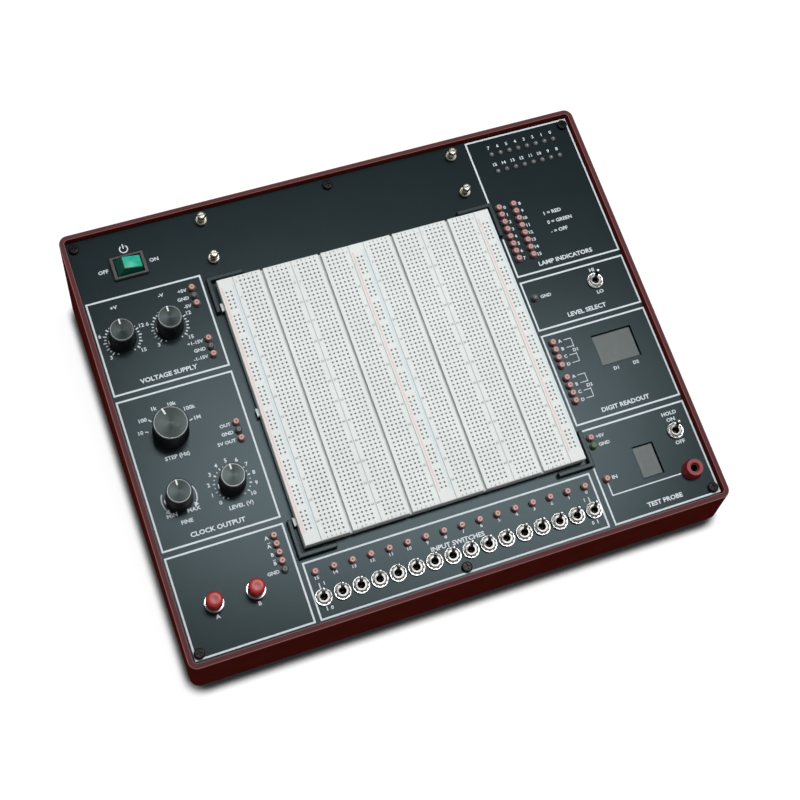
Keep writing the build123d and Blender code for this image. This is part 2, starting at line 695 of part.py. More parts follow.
# ---- Push buttons
def button_housing():
    ring_bore = BUTTON_CAP_RADIUS + SWING
    ring = rod(BUTTON_RING_RADIUS, PANEL_Z, PANEL_Z + BUTTON_RING_HEIGHT)
    ring -= rod(ring_bore, PANEL_Z + BUTTON_FLOOR, PANEL_Z + BUTTON_RING_HEIGHT)
    neck = rod(BUTTON_NECK_RADIUS, PANEL_UNDER_Z, PANEL_Z)
    body = block(BUTTON_BODY_SIDE, BUTTON_BODY_SIDE, BOARD_Z, PANEL_UNDER_Z)
    stem_end = PANEL_Z - BUTTON_STEM_BELOW - BUTTON_TRAVEL - SWING
    bore = rod(BUTTON_STEM_RADIUS + RUNNING, stem_end, PANEL_Z + BUTTON_FLOOR)
    return ring + neck + body - bore


def button_cap():
    top = PANEL_Z + BUTTON_TOP
    cap = rod(BUTTON_CAP_RADIUS, top - BUTTON_CAP_HEIGHT, top)
    cap = fillet(cap.edges().group_by(Axis.Z)[-1], 0.8)
    return cap + rod(BUTTON_STEM_RADIUS, PANEL_Z - BUTTON_STEM_BELOW, top - BUTTON_CAP_HEIGHT)


# ---- Power rocker
def rocker_housing():
    bezel_top = PANEL_Z + ROCKER_BEZEL_HEIGHT
    bottom = PANEL_Z - ROCKER_BODY_DEPTH
    bezel = block(ROCKER_BEZEL_LENGTH, ROCKER_BEZEL_WIDTH, PANEL_Z, bezel_top)
    bezel = fillet(bezel.edges().filter_by(Axis.Z), 1.0)
    bezel = chamfer(bezel.faces().sort_by(Axis.Z)[-1].edges(), 0.6)
    body = bezel + block(ROCKER_BODY_LENGTH, ROCKER_BODY_WIDTH, bottom, PANEL_Z)
    room_length = 2 * (ROCKER_SWING_RADIUS + SWING)
    room_width = ROCKER_WIDTH + 2 * SWING
    body -= block(room_length, room_width, bottom + ROCKER_FLOOR, bezel_top)
    pin_hole = Cylinder(ROCKER_PIN_RADIUS + RUNNING, ROCKER_BODY_WIDTH)
    return body - Pos(0, 0, ROCKER_PIVOT_Z) * (Rot(90, 0, 0) * pin_hole)


def power_rocker():
    """Rocker in its ON position, with the pivot at the origin."""
    lower = Rectangle(2 * ROCKER_SWING_RADIUS, ROCKER_WIDTH)
    upper = Pos(0, 0, ROCKER_TOP_HEIGHT) * Rectangle(ROCKER_TOP_LENGTH, ROCKER_TOP_WIDTH)
    cap = loft([lower, upper], ruled=True)
    belly = Rot(90, 0, 0) * Cylinder(ROCKER_SWING_RADIUS, ROCKER_WIDTH)
    belly &= block(2 * ROCKER_SWING_RADIUS, ROCKER_WIDTH, -ROCKER_BELLY_DEPTH, 0)
    pin_length = ROCKER_BODY_WIDTH - 2 * SLIP
    pins = Rot(90, 0, 0) * Cylinder(ROCKER_PIN_RADIUS, pin_length)
    return Rot(0, ROCKER_HALF_ANGLE, 0) * (cap + belly + pins)


# ---- Lamps and digits
def lamp():
    dome_z = PANEL_Z + LAMP_TOP - LAMP_RADIUS
    flange_z = PANEL_UNDER_Z - LAMP_FLANGE_HEIGHT
    body = rod(LAMP_FLANGE_RADIUS, flange_z, PANEL_UNDER_Z)
    body += rod(LAMP_RADIUS, PANEL_UNDER_Z, dome_z)
    body += Pos(0, 0, dome_z) * Sphere(LAMP_RADIUS)
    for side in (-1, 1):
        lead = block(LAMP_LEAD, LAMP_LEAD, BOARD_Z, flange_z)
        body += Pos(side * LAMP_LEAD_SPACING / 2, 0, 0) * lead
    return body


def digit_module(length):
    return block(length, DIGIT_DEPTH, BOARD_Z, BOARD_Z + DIGIT_HEIGHT)


# ---- Breadboard
BACKING_TOP = PANEL_Z + BACKING_THICKNESS
STRIP_TOP = BACKING_TOP + STRIP_HEIGHT
STRIP_ORDER = ("bus", "socket", "socket", "bus", "socket", "socket", "bus")
STRIP_WIDTHS = {"bus": BUS_STRIP_WIDTH, "socket": SOCKET_STRIP_WIDTH}
BREADBOARD_WIDTH = sum(STRIP_WIDTHS[kind] for kind in STRIP_ORDER)


def strip_places(kind):
    """X of each strip of this kind, from the left edge of the board."""
    places = []
    edge = BREADBOARD_X - BREADBOARD_WIDTH / 2
    for item in STRIP_ORDER:
        width = STRIP_WIDTHS[item]
        if item == kind:
            places.append((edge + width / 2, BREADBOARD_Y))
        edge += width
    return places


def strip(width):
    body = block(width - STRIP_JOINT, STRIP_LENGTH, BACKING_TOP, STRIP_TOP)
    return fillet(body.faces().sort_by(Axis.Z)[-1].edges(), STRIP_EDGE_RADIUS)


def socket_strip():
    groove = block(GROOVE_WIDTH, STRIP_LENGTH, STRIP_TOP - GROOVE_DEPTH, STRIP_TOP)
    return strip(SOCKET_STRIP_WIDTH) - groove


def dovetail(grow):
    """A tab that points along -X from x = 0, wider at its end."""
    tip = DOVETAIL_WIDTH / 2 + grow
    root = tip - 0.6
    out = DOVETAIL_OUT + grow
    face = make_face(Polyline((0, -root), (-out, -tip), (-out, tip), (0, root), close=True))
    return Pos(0, 0, BACKING_TOP + 1.5 - grow) * extrude(face, amount=DOVETAIL_HEIGHT + 2 * grow)


def bus_strips():
    left, middle, right = copies(strip(BUS_STRIP_WIDTH), strip_places("bus"))
    for step in (-1, 0, 1):
        y = BREADBOARD_Y + step * DOVETAIL_SPACING
        left_edge = BREADBOARD_X - BREADBOARD_WIDTH / 2 + STRIP_JOINT / 2
        right_edge = BREADBOARD_X + BREADBOARD_WIDTH / 2 - STRIP_JOINT / 2
        left += Pos(left_edge, y, 0) * dovetail(0)
        right -= Pos(right_edge, y, 0) * dovetail(STRIP_JOINT)
    return left, middle, right


def board_plate():
    plate = block(BREADBOARD_WIDTH, STRIP_LENGTH, PANEL_Z, BACKING_TOP)
    return Pos(BREADBOARD_X, BREADBOARD_Y, 0) * plate


def board_guides():
    """Four L-shaped guides round the board's corners."""
    corner_x = BREADBOARD_WIDTH / 2 + GUIDE_GAP
    corner_y = STRIP_LENGTH / 2 + GUIDE_GAP
    along = Box(GUIDE_LEG, GUIDE_THICKNESS, GUIDE_HEIGHT, align=(Align.MAX, Align.MIN, Align.MIN))
    up = Box(GUIDE_THICKNESS, GUIDE_LEG, GUIDE_HEIGHT, align=(Align.MIN, Align.MAX, Align.MIN))
    guide = Pos(GUIDE_THICKNESS, 0, 0) * along + Pos(0, GUIDE_THICKNESS, 0) * up
    guide = chamfer(guide.faces().sort_by(Axis.Z)[-1].edges(), 0.4)
    guide = Pos(corner_x, corner_y, PANEL_Z) * guide
    back_left = mirror(guide, Plane.YZ)
    corners = [guide, back_left, mirror(guide, Plane.XZ), mirror(back_left, Plane.XZ)]
    return [Pos(BREADBOARD_X, BREADBOARD_Y, 0) * corner for corner in corners]


# ---- Slotted posts
def post_screw():
    top = PANEL_Z + POST_TOP
    head_z = top - POST_HEAD_HEIGHT
    head = fillet(rod(POST_HEAD_RADIUS, head_z, top).edges().group_by(Axis.Z)[-1], 1.0)
    head -= block(2 * POST_HEAD_RADIUS, POST_SLOT, top - 0.9, top)
    return head + rod(POST_SHANK_RADIUS, BOARD_Z - BOARD_THICKNESS - POST_BELOW_BOARD, head_z)


def post_collar():
    top = PANEL_Z + POST_COLLAR_HEIGHT
    collar = chamfer(rod(POST_COLLAR_RADIUS, PANEL_Z, top).edges().group_by(Axis.Z)[-1], 0.4)
    return collar - rod(POST_SHANK_RADIUS + SNUG, PANEL_Z, top)


def board_standoff():
    pillar = hexagon(STANDOFF_FLATS, BOARD_Z, PANEL_UNDER_Z)
    return pillar - rod(POST_SHANK_RADIUS + SNUG, BOARD_Z, PANEL_UNDER_Z)


# ---- Banana socket
def banana_jack():
    bottom = PANEL_Z - JACK_BELOW_PANEL
    top = PANEL_Z + JACK_HEIGHT
    bore = JACK_SLEEVE_RADIUS + SNUG
    lip = JACK_SLEEVE_RADIUS - JACK_LIP
    body = upright(
        [
            (bore, bottom),
            (JACK_NECK_RADIUS, bottom),
            (JACK_NECK_RADIUS, PANEL_Z),
            (JACK_BASE_RADIUS, PANEL_Z),
            (JACK_BASE_RADIUS, PANEL_Z + JACK_RIM_HEIGHT),
            (JACK_TOP_RADIUS, top),
            (JACK_MOUTH_RADIUS, top),
            (lip, top - JACK_MOUTH_DEPTH),
            (lip, top - JACK_SLEEVE_SUNK),
            (bore, top - JACK_SLEEVE_SUNK),
        ]
    )
    nut = hexagon(JACK_NUT_FLATS, PANEL_UNDER_Z - JACK_NUT_HEIGHT, PANEL_UNDER_Z)
    return body + (nut - rod(JACK_NECK_RADIUS, BOARD_Z, PANEL_UNDER_Z))


def jack_contact():
    top = PANEL_Z + JACK_HEIGHT - JACK_SLEEVE_SUNK
    bottom = PANEL_Z - JACK_BELOW_PANEL
    sleeve = rod(JACK_SLEEVE_RADIUS, bottom - JACK_TAG_LENGTH, top)
    return sleeve - rod(JACK_BORE_RADIUS, bottom, top)


# ---- Mains inlet and transformer
def inlet_pins():
    """Three flat pins and the tabs behind them, about the socket's centre at the flange face."""
    length = INLET_BODY_DEPTH + INLET_FLANGE_THICKNESS - INLET_PIN_SHORT
    blade = Box(
        INLET_PIN_WIDTH,
        length + INLET_TAB_LENGTH,
        INLET_PIN_HEIGHT,
        align=(Align.CENTER, Align.MAX, Align.CENTER),
    )
    places = (
        (-INLET_PIN_SPACING, -INLET_PIN_OFFSET),
        (0, INLET_PIN_OFFSET),
        (INLET_PIN_SPACING, -INLET_PIN_OFFSET),
    )
    return [Pos(x, -INLET_PIN_SHORT, z) * blade for x, z in places]


def mains_inlet():
    """Panel inlet with its fuse drawer, about the flange's centre at its face."""
    flange = Box(
        INLET_FLANGE_LENGTH,
        INLET_FLANGE_THICKNESS,
        INLET_FLANGE_HEIGHT,
        align=(Align.CENTER, Align.MAX, Align.CENTER),
    )
    body = Box(
        INLET_BODY_LENGTH,
        INLET_BODY_DEPTH + INLET_FLANGE_THICKNESS,
        INLET_BODY_HEIGHT,
        align=(Align.CENTER, Align.MAX, Align.CENTER),
    )
    socket_room = Box(
        INLET_SOCKET_LENGTH,
        INLET_SOCKET_DEPTH,
        INLET_SOCKET_HEIGHT,
        align=(Align.CENTER, Align.MAX, Align.CENTER),
    )
    drawer_frame = Box(
        INLET_DRAWER_LENGTH,
        INLET_DRAWER_SUNK,
        INLET_DRAWER_HEIGHT,
        align=(Align.CENTER, Align.MAX, Align.CENTER),
    )
    finger_notch = Box(6.0, 2.0, 2.0, align=(Align.CENTER, Align.MAX, Align.CENTER))
    inlet = flange + body
    inlet -= Pos(0, 0, -INLET_SOCKET_DROP) * socket_room
    inlet -= Pos(0, 0, INLET_DRAWER_RISE) * drawer_frame
    inlet -= Pos(0, 0, INLET_DRAWER_RISE) * finger_notch
    for pin in inlet_pins():
        box = pin.bounding_box().size
        slot = Box(box.X + 2 * SNUG, box.Y, box.Z + 2 * SNUG)
        inlet -= Pos(0, 0, -INLET_SOCKET_DROP) * (Pos(*pin.center()) * slot)
    return inlet


def transformer():
    """Laminated core with its coil, standing on a strap foot."""
    foot_top = FLOOR_Z + CORE_FOOT_THICKNESS
    middle = foot_top + CORE_HEIGHT / 2
    unit = block(CORE_FOOT_LENGTH, CORE_DEPTH, FLOOR_Z, foot_top)
    hole_x = (CORE_FOOT_LENGTH + CORE_LENGTH) / 4
    unit -= copies(rod(CORE_FOOT_HOLE, FLOOR_Z, foot_top), [(-hole_x, 0), (hole_x, 0)])
    unit += block(CORE_LENGTH, CORE_DEPTH, foot_top, foot_top + CORE_HEIGHT)
    coil = fillet(Box(COIL_LENGTH, COIL_DEPTH, COIL_HEIGHT).edges().filter_by(Axis.Z), 4.0)
    return unit + Pos(0, 0, middle) * coil


# ---- Write every sub-part
os.makedirs("parts", exist_ok=True)

save("case", case())
save("feet", *copies(foot(), FEET))
save_on_slope("front_panel", front_panel())
save_on_slope("panel_screws", *copies(panel_screw(), PANEL_SCREWS))
save_on_slope("main_board", main_board())

save_on_slope("toggle_bodies", *copies(toggle_body(), TOGGLES.values()))
save_on_slope("toggle_nuts", *copies(dress_nut(), TOGGLES.values()))
lever = toggle_lever()
for name, (x, y) in TOGGLES.items():
    save_on_slope(name, Pos(x, y, LEVER_PIVOT_Z) * lever)

pot = control_body(POT_BODY_RADIUS, POT_BODY_HEIGHT, POT_BUSHING_RADIUS, POT_TAB_RADIUS)
save_on_slope("pot_bodies", *copies(pot, POTS.values()))
rotary = control_body(
    ROTARY_BODY_RADIUS, ROTARY_BODY_HEIGHT, ROTARY_BUSHING_RADIUS, ROTARY_TAB_RADIUS
)
save_on_slope("rotary_switch", *copies(rotary, [ROTARY]))
pot_nuts = copies(bushing_nut(POT_NUT_FLATS, POT_BUSHING_RADIUS), POTS.values())
rotary_nut = copies(bushing_nut(ROTARY_NUT_FLATS, ROTARY_BUSHING_RADIUS), [ROTARY])
save_on_slope("bushing_nuts", *pot_nuts, *rotary_nut)
pot_knob = knob(POT_KNOB_BASE_RADIUS, POT_KNOB_TOP_RADIUS, POT_KNOB_TOP, POT_NUT_FLATS)
for name, (x, y) in POTS.items():
    save_on_slope(f"{name}_knob", Pos(x, y, 0) * pot_knob)
    save_on_slope(f"{name}_shaft", Pos(x, y, 0) * knob_shaft())
rotary_knob = knob(
    ROTARY_KNOB_BASE_RADIUS, ROTARY_KNOB_TOP_RADIUS, ROTARY_KNOB_TOP, ROTARY_NUT_FLATS
)
save_on_slope("clock_range_knob", *copies(rotary_knob, [ROTARY]))
save_on_slope("clock_range_shaft", *copies(knob_shaft(), [ROTARY]))

save_on_slope("red_terminals", *copies(terminal(), RED_TERMINALS))
save_on_slope("ground_terminals", *copies(terminal(), GROUND_TERMINALS))
save_on_slope("terminal_contacts", *copies(terminal_contact(), ALL_TERMINALS))

save_on_slope("button_housings", *copies(button_housing(), BUTTONS.values()))
for name, (x, y) in BUTTONS.items():
    save_on_slope(name, Pos(x, y, 0) * button_cap())

save_on_slope("rocker_housing", *copies(rocker_housing(), [ROCKER]))
save_on_slope("power_rocker", Pos(*ROCKER, ROCKER_PIVOT_Z) * power_rocker())

save_on_slope("lamps", *copies(lamp(), LAMPS))
digit_pair = Pos(*DIGIT_PAIR, 0) * digit_module(DIGIT_PAIR_LENGTH)
digit_single = Pos(*DIGIT_SINGLE, 0) * digit_module(DIGIT_SINGLE_LENGTH)
save_on_slope("display_modules", digit_pair, digit_single)

save_on_slope("socket_strips", *copies(socket_strip(), strip_places("socket")))
save_on_slope("bus_strips", *bus_strips())
save_on_slope("board_plate", board_plate())
save_on_slope("board_guides", *board_guides())

save_on_slope("post_screws", *copies(post_screw(), POSTS))
save_on_slope("post_collars", *copies(post_collar(), POSTS))
save_on_slope("board_standoffs", *copies(board_standoff(), POSTS))

save_on_slope("banana_jack", *copies(banana_jack(), [JACK]))
save_on_slope("jack_contact", *copies(jack_contact(), [JACK]))

inlet_place = Pos(INLET_X, inlet_face_y(), INLET_Z)
save("mains_inlet", inlet_place * mains_inlet())
save("inlet_pins", *[inlet_place * Pos(0, 0, -INLET_SOCKET_DROP) * pin for pin in inlet_pins()])
save("transformer", *copies(transformer(), [TRANSFORMER]))
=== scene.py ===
import functools
import json
import math

import bpy
from mathutils import Matrix, Vector


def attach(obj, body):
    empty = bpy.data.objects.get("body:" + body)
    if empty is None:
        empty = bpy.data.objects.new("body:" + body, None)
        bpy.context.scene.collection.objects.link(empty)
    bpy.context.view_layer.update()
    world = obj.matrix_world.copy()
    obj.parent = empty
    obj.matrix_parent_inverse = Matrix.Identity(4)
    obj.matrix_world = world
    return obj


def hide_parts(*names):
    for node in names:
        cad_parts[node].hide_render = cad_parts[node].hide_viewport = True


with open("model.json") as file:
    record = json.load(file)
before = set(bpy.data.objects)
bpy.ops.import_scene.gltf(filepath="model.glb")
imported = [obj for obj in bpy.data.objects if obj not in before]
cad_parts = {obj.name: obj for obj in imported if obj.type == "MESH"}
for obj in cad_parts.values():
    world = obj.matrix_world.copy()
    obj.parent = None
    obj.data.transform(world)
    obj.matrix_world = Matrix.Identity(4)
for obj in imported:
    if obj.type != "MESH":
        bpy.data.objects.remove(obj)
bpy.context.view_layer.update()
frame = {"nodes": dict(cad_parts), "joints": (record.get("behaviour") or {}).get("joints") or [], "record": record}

# Digital logic trainer. Lengths in this script are millimetres unless a name says otherwise,
# and MM turns them into the scene's metres.
MM = 0.001
ROOT = "trainer"
BREADBOARD = "breadboard"
JOINTS = {joint["name"]: joint for joint in frame["joints"]}


# ---- Places that the frame gives
# The panel slopes, and its pieces are drawn in the panel's own frame: the origin is the middle
# of the panel's top face, X runs to the right, Y up the slope and Z out of the face.
SLOPE_NORMAL = Vector(JOINTS["breadboard_lift"]["axis"])
TURN = Vector((0, 0, 1)).rotation_difference(SLOPE_NORMAL).to_matrix()
FLAT = TURN.transposed()


def flat_box(node):
    """Lowest and highest corners of a node, square to the panel, in metres."""
    points = [FLAT @ v.co for v in frame["nodes"][node].data.vertices]
    low = Vector([min(p[i] for p in points) for i in range(3)])
    high = Vector([max(p[i] for p in points) for i in range(3)])
    return low, high


def panel_origin():
    low, high = flat_box("front_panel")
    return Vector(((low.x + high.x) / 2, (low.y + high.y) / 2, high.z))


ORIGIN = panel_origin()
ON_PANEL = TURN.to_4x4() @ Matrix.Translation(ORIGIN / MM)


def box_mm(node):
    low, high = flat_box(node)
    return (low - ORIGIN) / MM, (high - ORIGIN) / MM


def pivot_mm(joint):
    return (FLAT @ Vector(JOINTS[joint]["pos_m"]) - ORIGIN) / MM


PANEL_LOW, PANEL_HIGH = box_mm("front_panel")
LEFT, FRONT = PANEL_LOW.xy
RIGHT, BACK = PANEL_HIGH.xy
PRINT_Z = 0.03


def middle(node):
    low, high = box_mm(node)
    return (low + high) / 2


# ---- Mesh building
SQUARE = ((-1, -1), (1, -1), (1, 1), (-1, 1))  # its corners, counterclockwise


def new_object(name, data):
    made = bpy.data.objects.new(name, data)
    bpy.context.scene.collection.objects.link(made)
    return made


class Shape:
    """Gathers points in the panel's frame and faces, each face with a material number."""

    def __init__(self):
        self.points = []
        self.faces = []
        self.slots = []

    def add(self, points, faces, slot=0, place=Matrix()):
        start = len(self.points)
        self.points += [place @ Vector(p) for p in points]
        self.faces += [[start + i for i in face] for face in faces]
        self.slots += slot if isinstance(slot, list) else [slot] * len(faces)

    def make(self, name, materials, body, slot, replaces=(), smooth=32):
        mesh = bpy.data.meshes.new(name)
        mesh.from_pydata([ON_PANEL @ p * MM for p in self.points], [], self.faces)
        for item in materials:
            mesh.materials.append(item)
        mesh.polygons.foreach_set("material_index", self.slots)
        mesh.polygons.foreach_set("use_smooth", [smooth > 0] * len(self.faces))
        if smooth > 0:
            mesh.set_sharp_from_angle(angle=math.radians(smooth))
        mesh.update()
        piece = new_object(name, mesh)
        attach(piece, body)
        if replaces:
            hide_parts(*replaces)


def bridge(lower, upper):
    """Faces between two rings of point numbers. A ring of one point is a tip."""
    count = max(len(lower), len(upper))
    faces = []
    for i in range(count):
        j = (i + 1) % count
        if len(lower) == 1:
            faces.append([lower[0], upper[j], upper[i]])
        elif len(upper) == 1:
            faces.append([lower[i], lower[j], upper[0]])
        else:
            faces.append([lower[i], lower[j], upper[j], upper[i]])
    return faces


def lathe(profile, segments, ribs=(0,)):
    """A profile of (radius, height) or (radius, height, rib depth) turned about Z.

    ribs are the shares of the rib depth taken off at each step, over and over.
    """
    points = []
    rings = []
    for radius, height, *rib in profile:
        depth = rib[0] if rib else 0
        if radius == 0:
            rings.append([len(points)])
            points.append((0, 0, height))
            continue
        rings.append(range(len(points), len(points) + segments))
        for i in range(segments):
            r = radius - depth * ribs[i % len(ribs)]
            angle = 2 * math.pi * i / segments
            points.append((r * math.cos(angle), r * math.sin(angle), height))
    faces = []
    for lower, upper in zip(rings, rings[1:]):
        faces += bridge(lower, upper)
    return points, faces


def loft(sections):
    """Closed outlines of equal length, joined in order, with both ends closed."""
    points = [p for section in sections for p in section]
    size = len(sections[0])
    rings = [list(range(k * size, (k + 1) * size)) for k in range(len(sections))]
    faces = [rings[0][::-1], rings[-1]]
    for lower, upper in zip(rings, rings[1:]):
        faces += bridge(lower, upper)
    return points, faces


def rounded_outline(length, depth, radius, z, steps=4):
    """Counterclockwise outline of a rounded rectangle about the origin."""
    outline = []
    for side_x, side_y, start in ((1, 1, 0), (-1, 1, 90), (-1, -1, 180), (1, -1, 270)):
        for step in range(steps + 1):
            angle = math.radians(start + 90 * step / steps)
            x = side_x * (length / 2 - radius) + radius * math.cos(angle)
            y = side_y * (depth / 2 - radius) + radius * math.sin(angle)
            outline.append((x, y, z))
    return outline


def at(x, y, z=0.0, turn=0.0):
    return Matrix.Translation((x, y, z)) @ Matrix.Rotation(math.radians(turn), 4, "Z")


# ---- Flat print
CAP_HEIGHT = 0.729  # of the type size
ARC_STEPS = 24


@functools.cache
def type_mesh(text, height, weight):
    """Points and faces of a text, made once for each size and weight."""
    curve = bpy.data.curves.new("type", "FONT")
    curve.body = text
    curve.size = height / CAP_HEIGHT
    curve.offset = weight
    curve.resolution_u = 2
    curve.align_x = "CENTER"
    holder = new_object("type", curve)
    bpy.context.view_layer.update()
    mesh = bpy.data.meshes.new_from_object(holder)
    points = [tuple(v.co) for v in mesh.vertices]
    faces = [list(p.vertices) for p in mesh.polygons]
    bpy.data.objects.remove(holder)
    bpy.data.curves.remove(curve)
    bpy.data.meshes.remove(mesh)
    return points, faces


def write(shape, text, x, y, height, z=PRINT_Z, align="CENTER", slot=0, weight=0.08, wide=1.1):
    """Prints text with its capitals centred on y."""
    points, faces = type_mesh(text, height, weight)
    low = min(p[0] for p in points) * wide
    high = max(p[0] for p in points) * wide
    shift = {"LEFT": -low, "CENTER": -(low + high) / 2, "RIGHT": -high}[align]
    placed = [(x + px * wide + shift, y + py - height / 2, z) for px, py, _ in points]
    shape.add(placed, faces, slot)


def bar(shape, x0, y0, x1, y1, width, z=PRINT_Z, slot=0):
    """A straight printed line."""
    along = Vector((x1 - x0, y1 - y0)).normalized() * width / 2
    side = Vector((-along.y, along.x))
    corners = []
    for x, y, way in ((x0, y0, -1), (x1, y1, -1), (x1, y1, 1), (x0, y0, 1)):
        corners.append((x + way * side.x, y + way * side.y, z))
    shape.add(corners, [[0, 1, 2, 3]], slot)


def polar(centre, radius, degrees):
    """A point by its clock angle: 0 is straight back and 90 is right."""
    angle = math.radians(degrees)
    return centre.x + radius * math.sin(angle), centre.y + radius * math.cos(angle)


def tick(shape, centre, r0, r1, degrees, width):
    bar(shape, *polar(centre, r0, degrees), *polar(centre, r1, degrees), width)


def arc(shape, centre, radius, start, end, width):
    for step in range(ARC_STEPS):
        a = start + (end - start) * step / ARC_STEPS
        b = start + (end - start) * (step + 1) / ARC_STEPS
        corners = []
        for way, degrees in ((-1, a), (-1, b), (1, b), (1, a)):
            corners.append((*polar(centre, radius + way * width / 2, degrees), PRINT_Z))
        order = [0, 1, 2, 3] if start > end else [3, 2, 1, 0]
        shape.add(corners, [order])


def dot(shape, x, y, radius, z=PRINT_Z, slot=0):
    ring = [(x + radius * math.cos(a), y + radius * math.sin(a), z) for a in circle_angles(10)]
    shape.add(ring, [list(range(10))], slot)


def circle_angles(count):
    return [2 * math.pi * i / count for i in range(count)]


# ---- Materials
def wire(tree, made, inputs):
    """Sets a node's inputs, by name or number, to values or to other nodes' outputs."""
    for name, value in inputs.items():
        if isinstance(value, bpy.types.NodeSocket):
            tree.links.new(value, made.inputs[name])
        else:
            made.inputs[name].default_value = value


def output(tree, kind, name, inputs, **settings):
    """One output of a new shader node."""
    made = tree.nodes.new("ShaderNode" + kind)
    for setting, value in settings.items():
        setattr(made, setting, value)
    wire(tree, made, inputs)
    return made.outputs[name]


def mixed(tree, share, before, colour):
    """An output's colour turned towards a second colour by a share."""
    inputs = {"Factor": share, "A": before, "B": (*colour, 1)}
    return output(tree, "Mix", "Result", inputs, data_type="RGBA")


SURFACES = {}


def surface(
    name, colour, colour_two, roughness=(0.4, 0.5), metallic=0.0, mottle=300.0, grain=1500.0,
    bump=0.1, bump_mm=0.05, wear_and_highlight=None, wear_and_highlight_mm=0.3, coat=0.0, gloss=0.5, tint=(1, 1, 1),
):
    """A material with colour mottle, uneven roughness, a fine bumped grain and paler edges: rubbed edges, and on
    the case a painted highlight.
    """
    made = bpy.data.materials.new(name)
    made.use_nodes = True
    tree = made.node_tree
    place = output(tree, "TexCoord", "Object", {})

    def noise(scale, detail):
        return output(tree, "TexNoise", "Fac", {"Scale": scale, "Detail": detail, "Vector": place})

    ramp = tree.nodes.new("ShaderNodeValToRGB")
    for step, position, shade in zip(ramp.color_ramp.elements, (0.3, 0.7), (colour, colour_two)):
        step.position = position
        step.color = (*shade, 1)
    tree.links.new(noise(mottle, 4), ramp.inputs["Fac"])
    paint = ramp.outputs["Color"]

    # Paler colour on convex edges: rubbed edges, and a painted highlight where the case uses it.
    if wear_and_highlight:
        bevel = output(tree, "Bevel", "Normal", {"Radius": wear_and_highlight_mm * MM}, samples=4)
        facing = output(tree, "NewGeometry", "Normal", {})
        turn = output(tree, "VectorMath", "Value", {0: bevel, 1: facing}, operation="DOT_PRODUCT")
        worn_and_lit = output(tree, "MapRange", "Result", {"From Min": 0.99, "From Max": 0.8, "Value": turn})
        inputs = {0: worn_and_lit, 1: noise(mottle * 2, 3)}
        paint = mixed(tree, output(tree, "Math", "Value", inputs, operation="MULTIPLY"), paint, wear_and_highlight)

    uneven = {"To Min": roughness[0], "To Max": roughness[1], "Value": noise(mottle * 1.7, 3)}
    inputs = {
        "Base Color": paint,
        "Roughness": output(tree, "MapRange", "Result", uneven),
        "Metallic": metallic,
        "Coat Weight": coat,
        "Coat Roughness": 0.08,
        "Specular IOR Level": gloss,
        "Specular Tint": (*tint, 1),
    }
    if bump > 0:
        relief = {"Strength": bump, "Distance": bump_mm * MM, "Height": noise(grain, 3)}
        inputs["Normal"] = output(tree, "Bump", "Normal", relief)
    wire(tree, tree.nodes["Principled BSDF"], inputs)
    SURFACES[name] = made
    return made


def shader_of(made):
    return made.node_tree.nodes["Principled BSDF"]


def colour_of(made):
    return shader_of(made).inputs["Base Color"].links[0].from_socket


def mix_past(made, along, edge, colour, spread=0.1, share=1.0):
    """Changes a material's colour past an edge, in millimetres along a direction of the panel's frame."""
    tree = made.node_tree
    inputs = {0: output(tree, "TexCoord", "Object", {}), 1: TURN @ along}
    inputs = {
        "From Min": (edge - spread) * MM + ORIGIN.dot(along),
        "From Max": (edge + spread) * MM + ORIGIN.dot(along),
        "To Max": share,
        "Value": output(tree, "VectorMath", "Value", inputs, operation="DOT_PRODUCT"),
    }
    step = output(tree, "MapRange", "Result", inputs)
    wire(tree, shader_of(made), {"Base Color": mixed(tree, step, colour_of(made), colour)})


def mix_by_height(made, edge, colour, spread=0.1, share=1.0):
    mix_past(made, Vector((0, 0, 1)), edge, colour, spread, share)


METAL = {"metallic": 1.0, "mottle": 1200, "grain": 4000, "bump_mm": 0.01}
PLATED = {"metallic": 1.0, "grain": 3500, "bump_mm": 0.02}
PLASTIC = {"mottle": 500, "grain": 2500, "bump": 0.2, "bump_mm": 0.03}
SMOOTH_PLASTIC = {"mottle": 500, "grain": 3000, "bump_mm": 0.02}
TERMINAL = {"roughness": (0.35, 0.5), "mottle": 900, "grain": 3500, "bump_mm": 0.02}
PRINT = {"mottle": 900, "grain": 3000, "bump_mm": 0.01}
INK = {"bump": 0.05, "bump_mm": 0.01}
DIGIT = {"grain": 2500, "bump": 0.05, "bump_mm": 0.01, "gloss": 0.25}
# The case has no gloss. Its paler edge colour is a painted highlight on its edges, chiefly along the rim's crest.
case_red = surface(
    "case_abs", (0.142, 0.0185, 0.014), (0.122, 0.0155, 0.0118), (0.38, 0.48),
    mottle=60, grain=1800, bump=0.25, bump_mm=0.04,
    wear_and_highlight=(0.42, 0.2, 0.2), wear_and_highlight_mm=0.9, gloss=0.0,
)
RIM_FLAT = 4.42  # over the panel
RIM_CREST = 3.85
TERMINAL_CROWN = 2.72
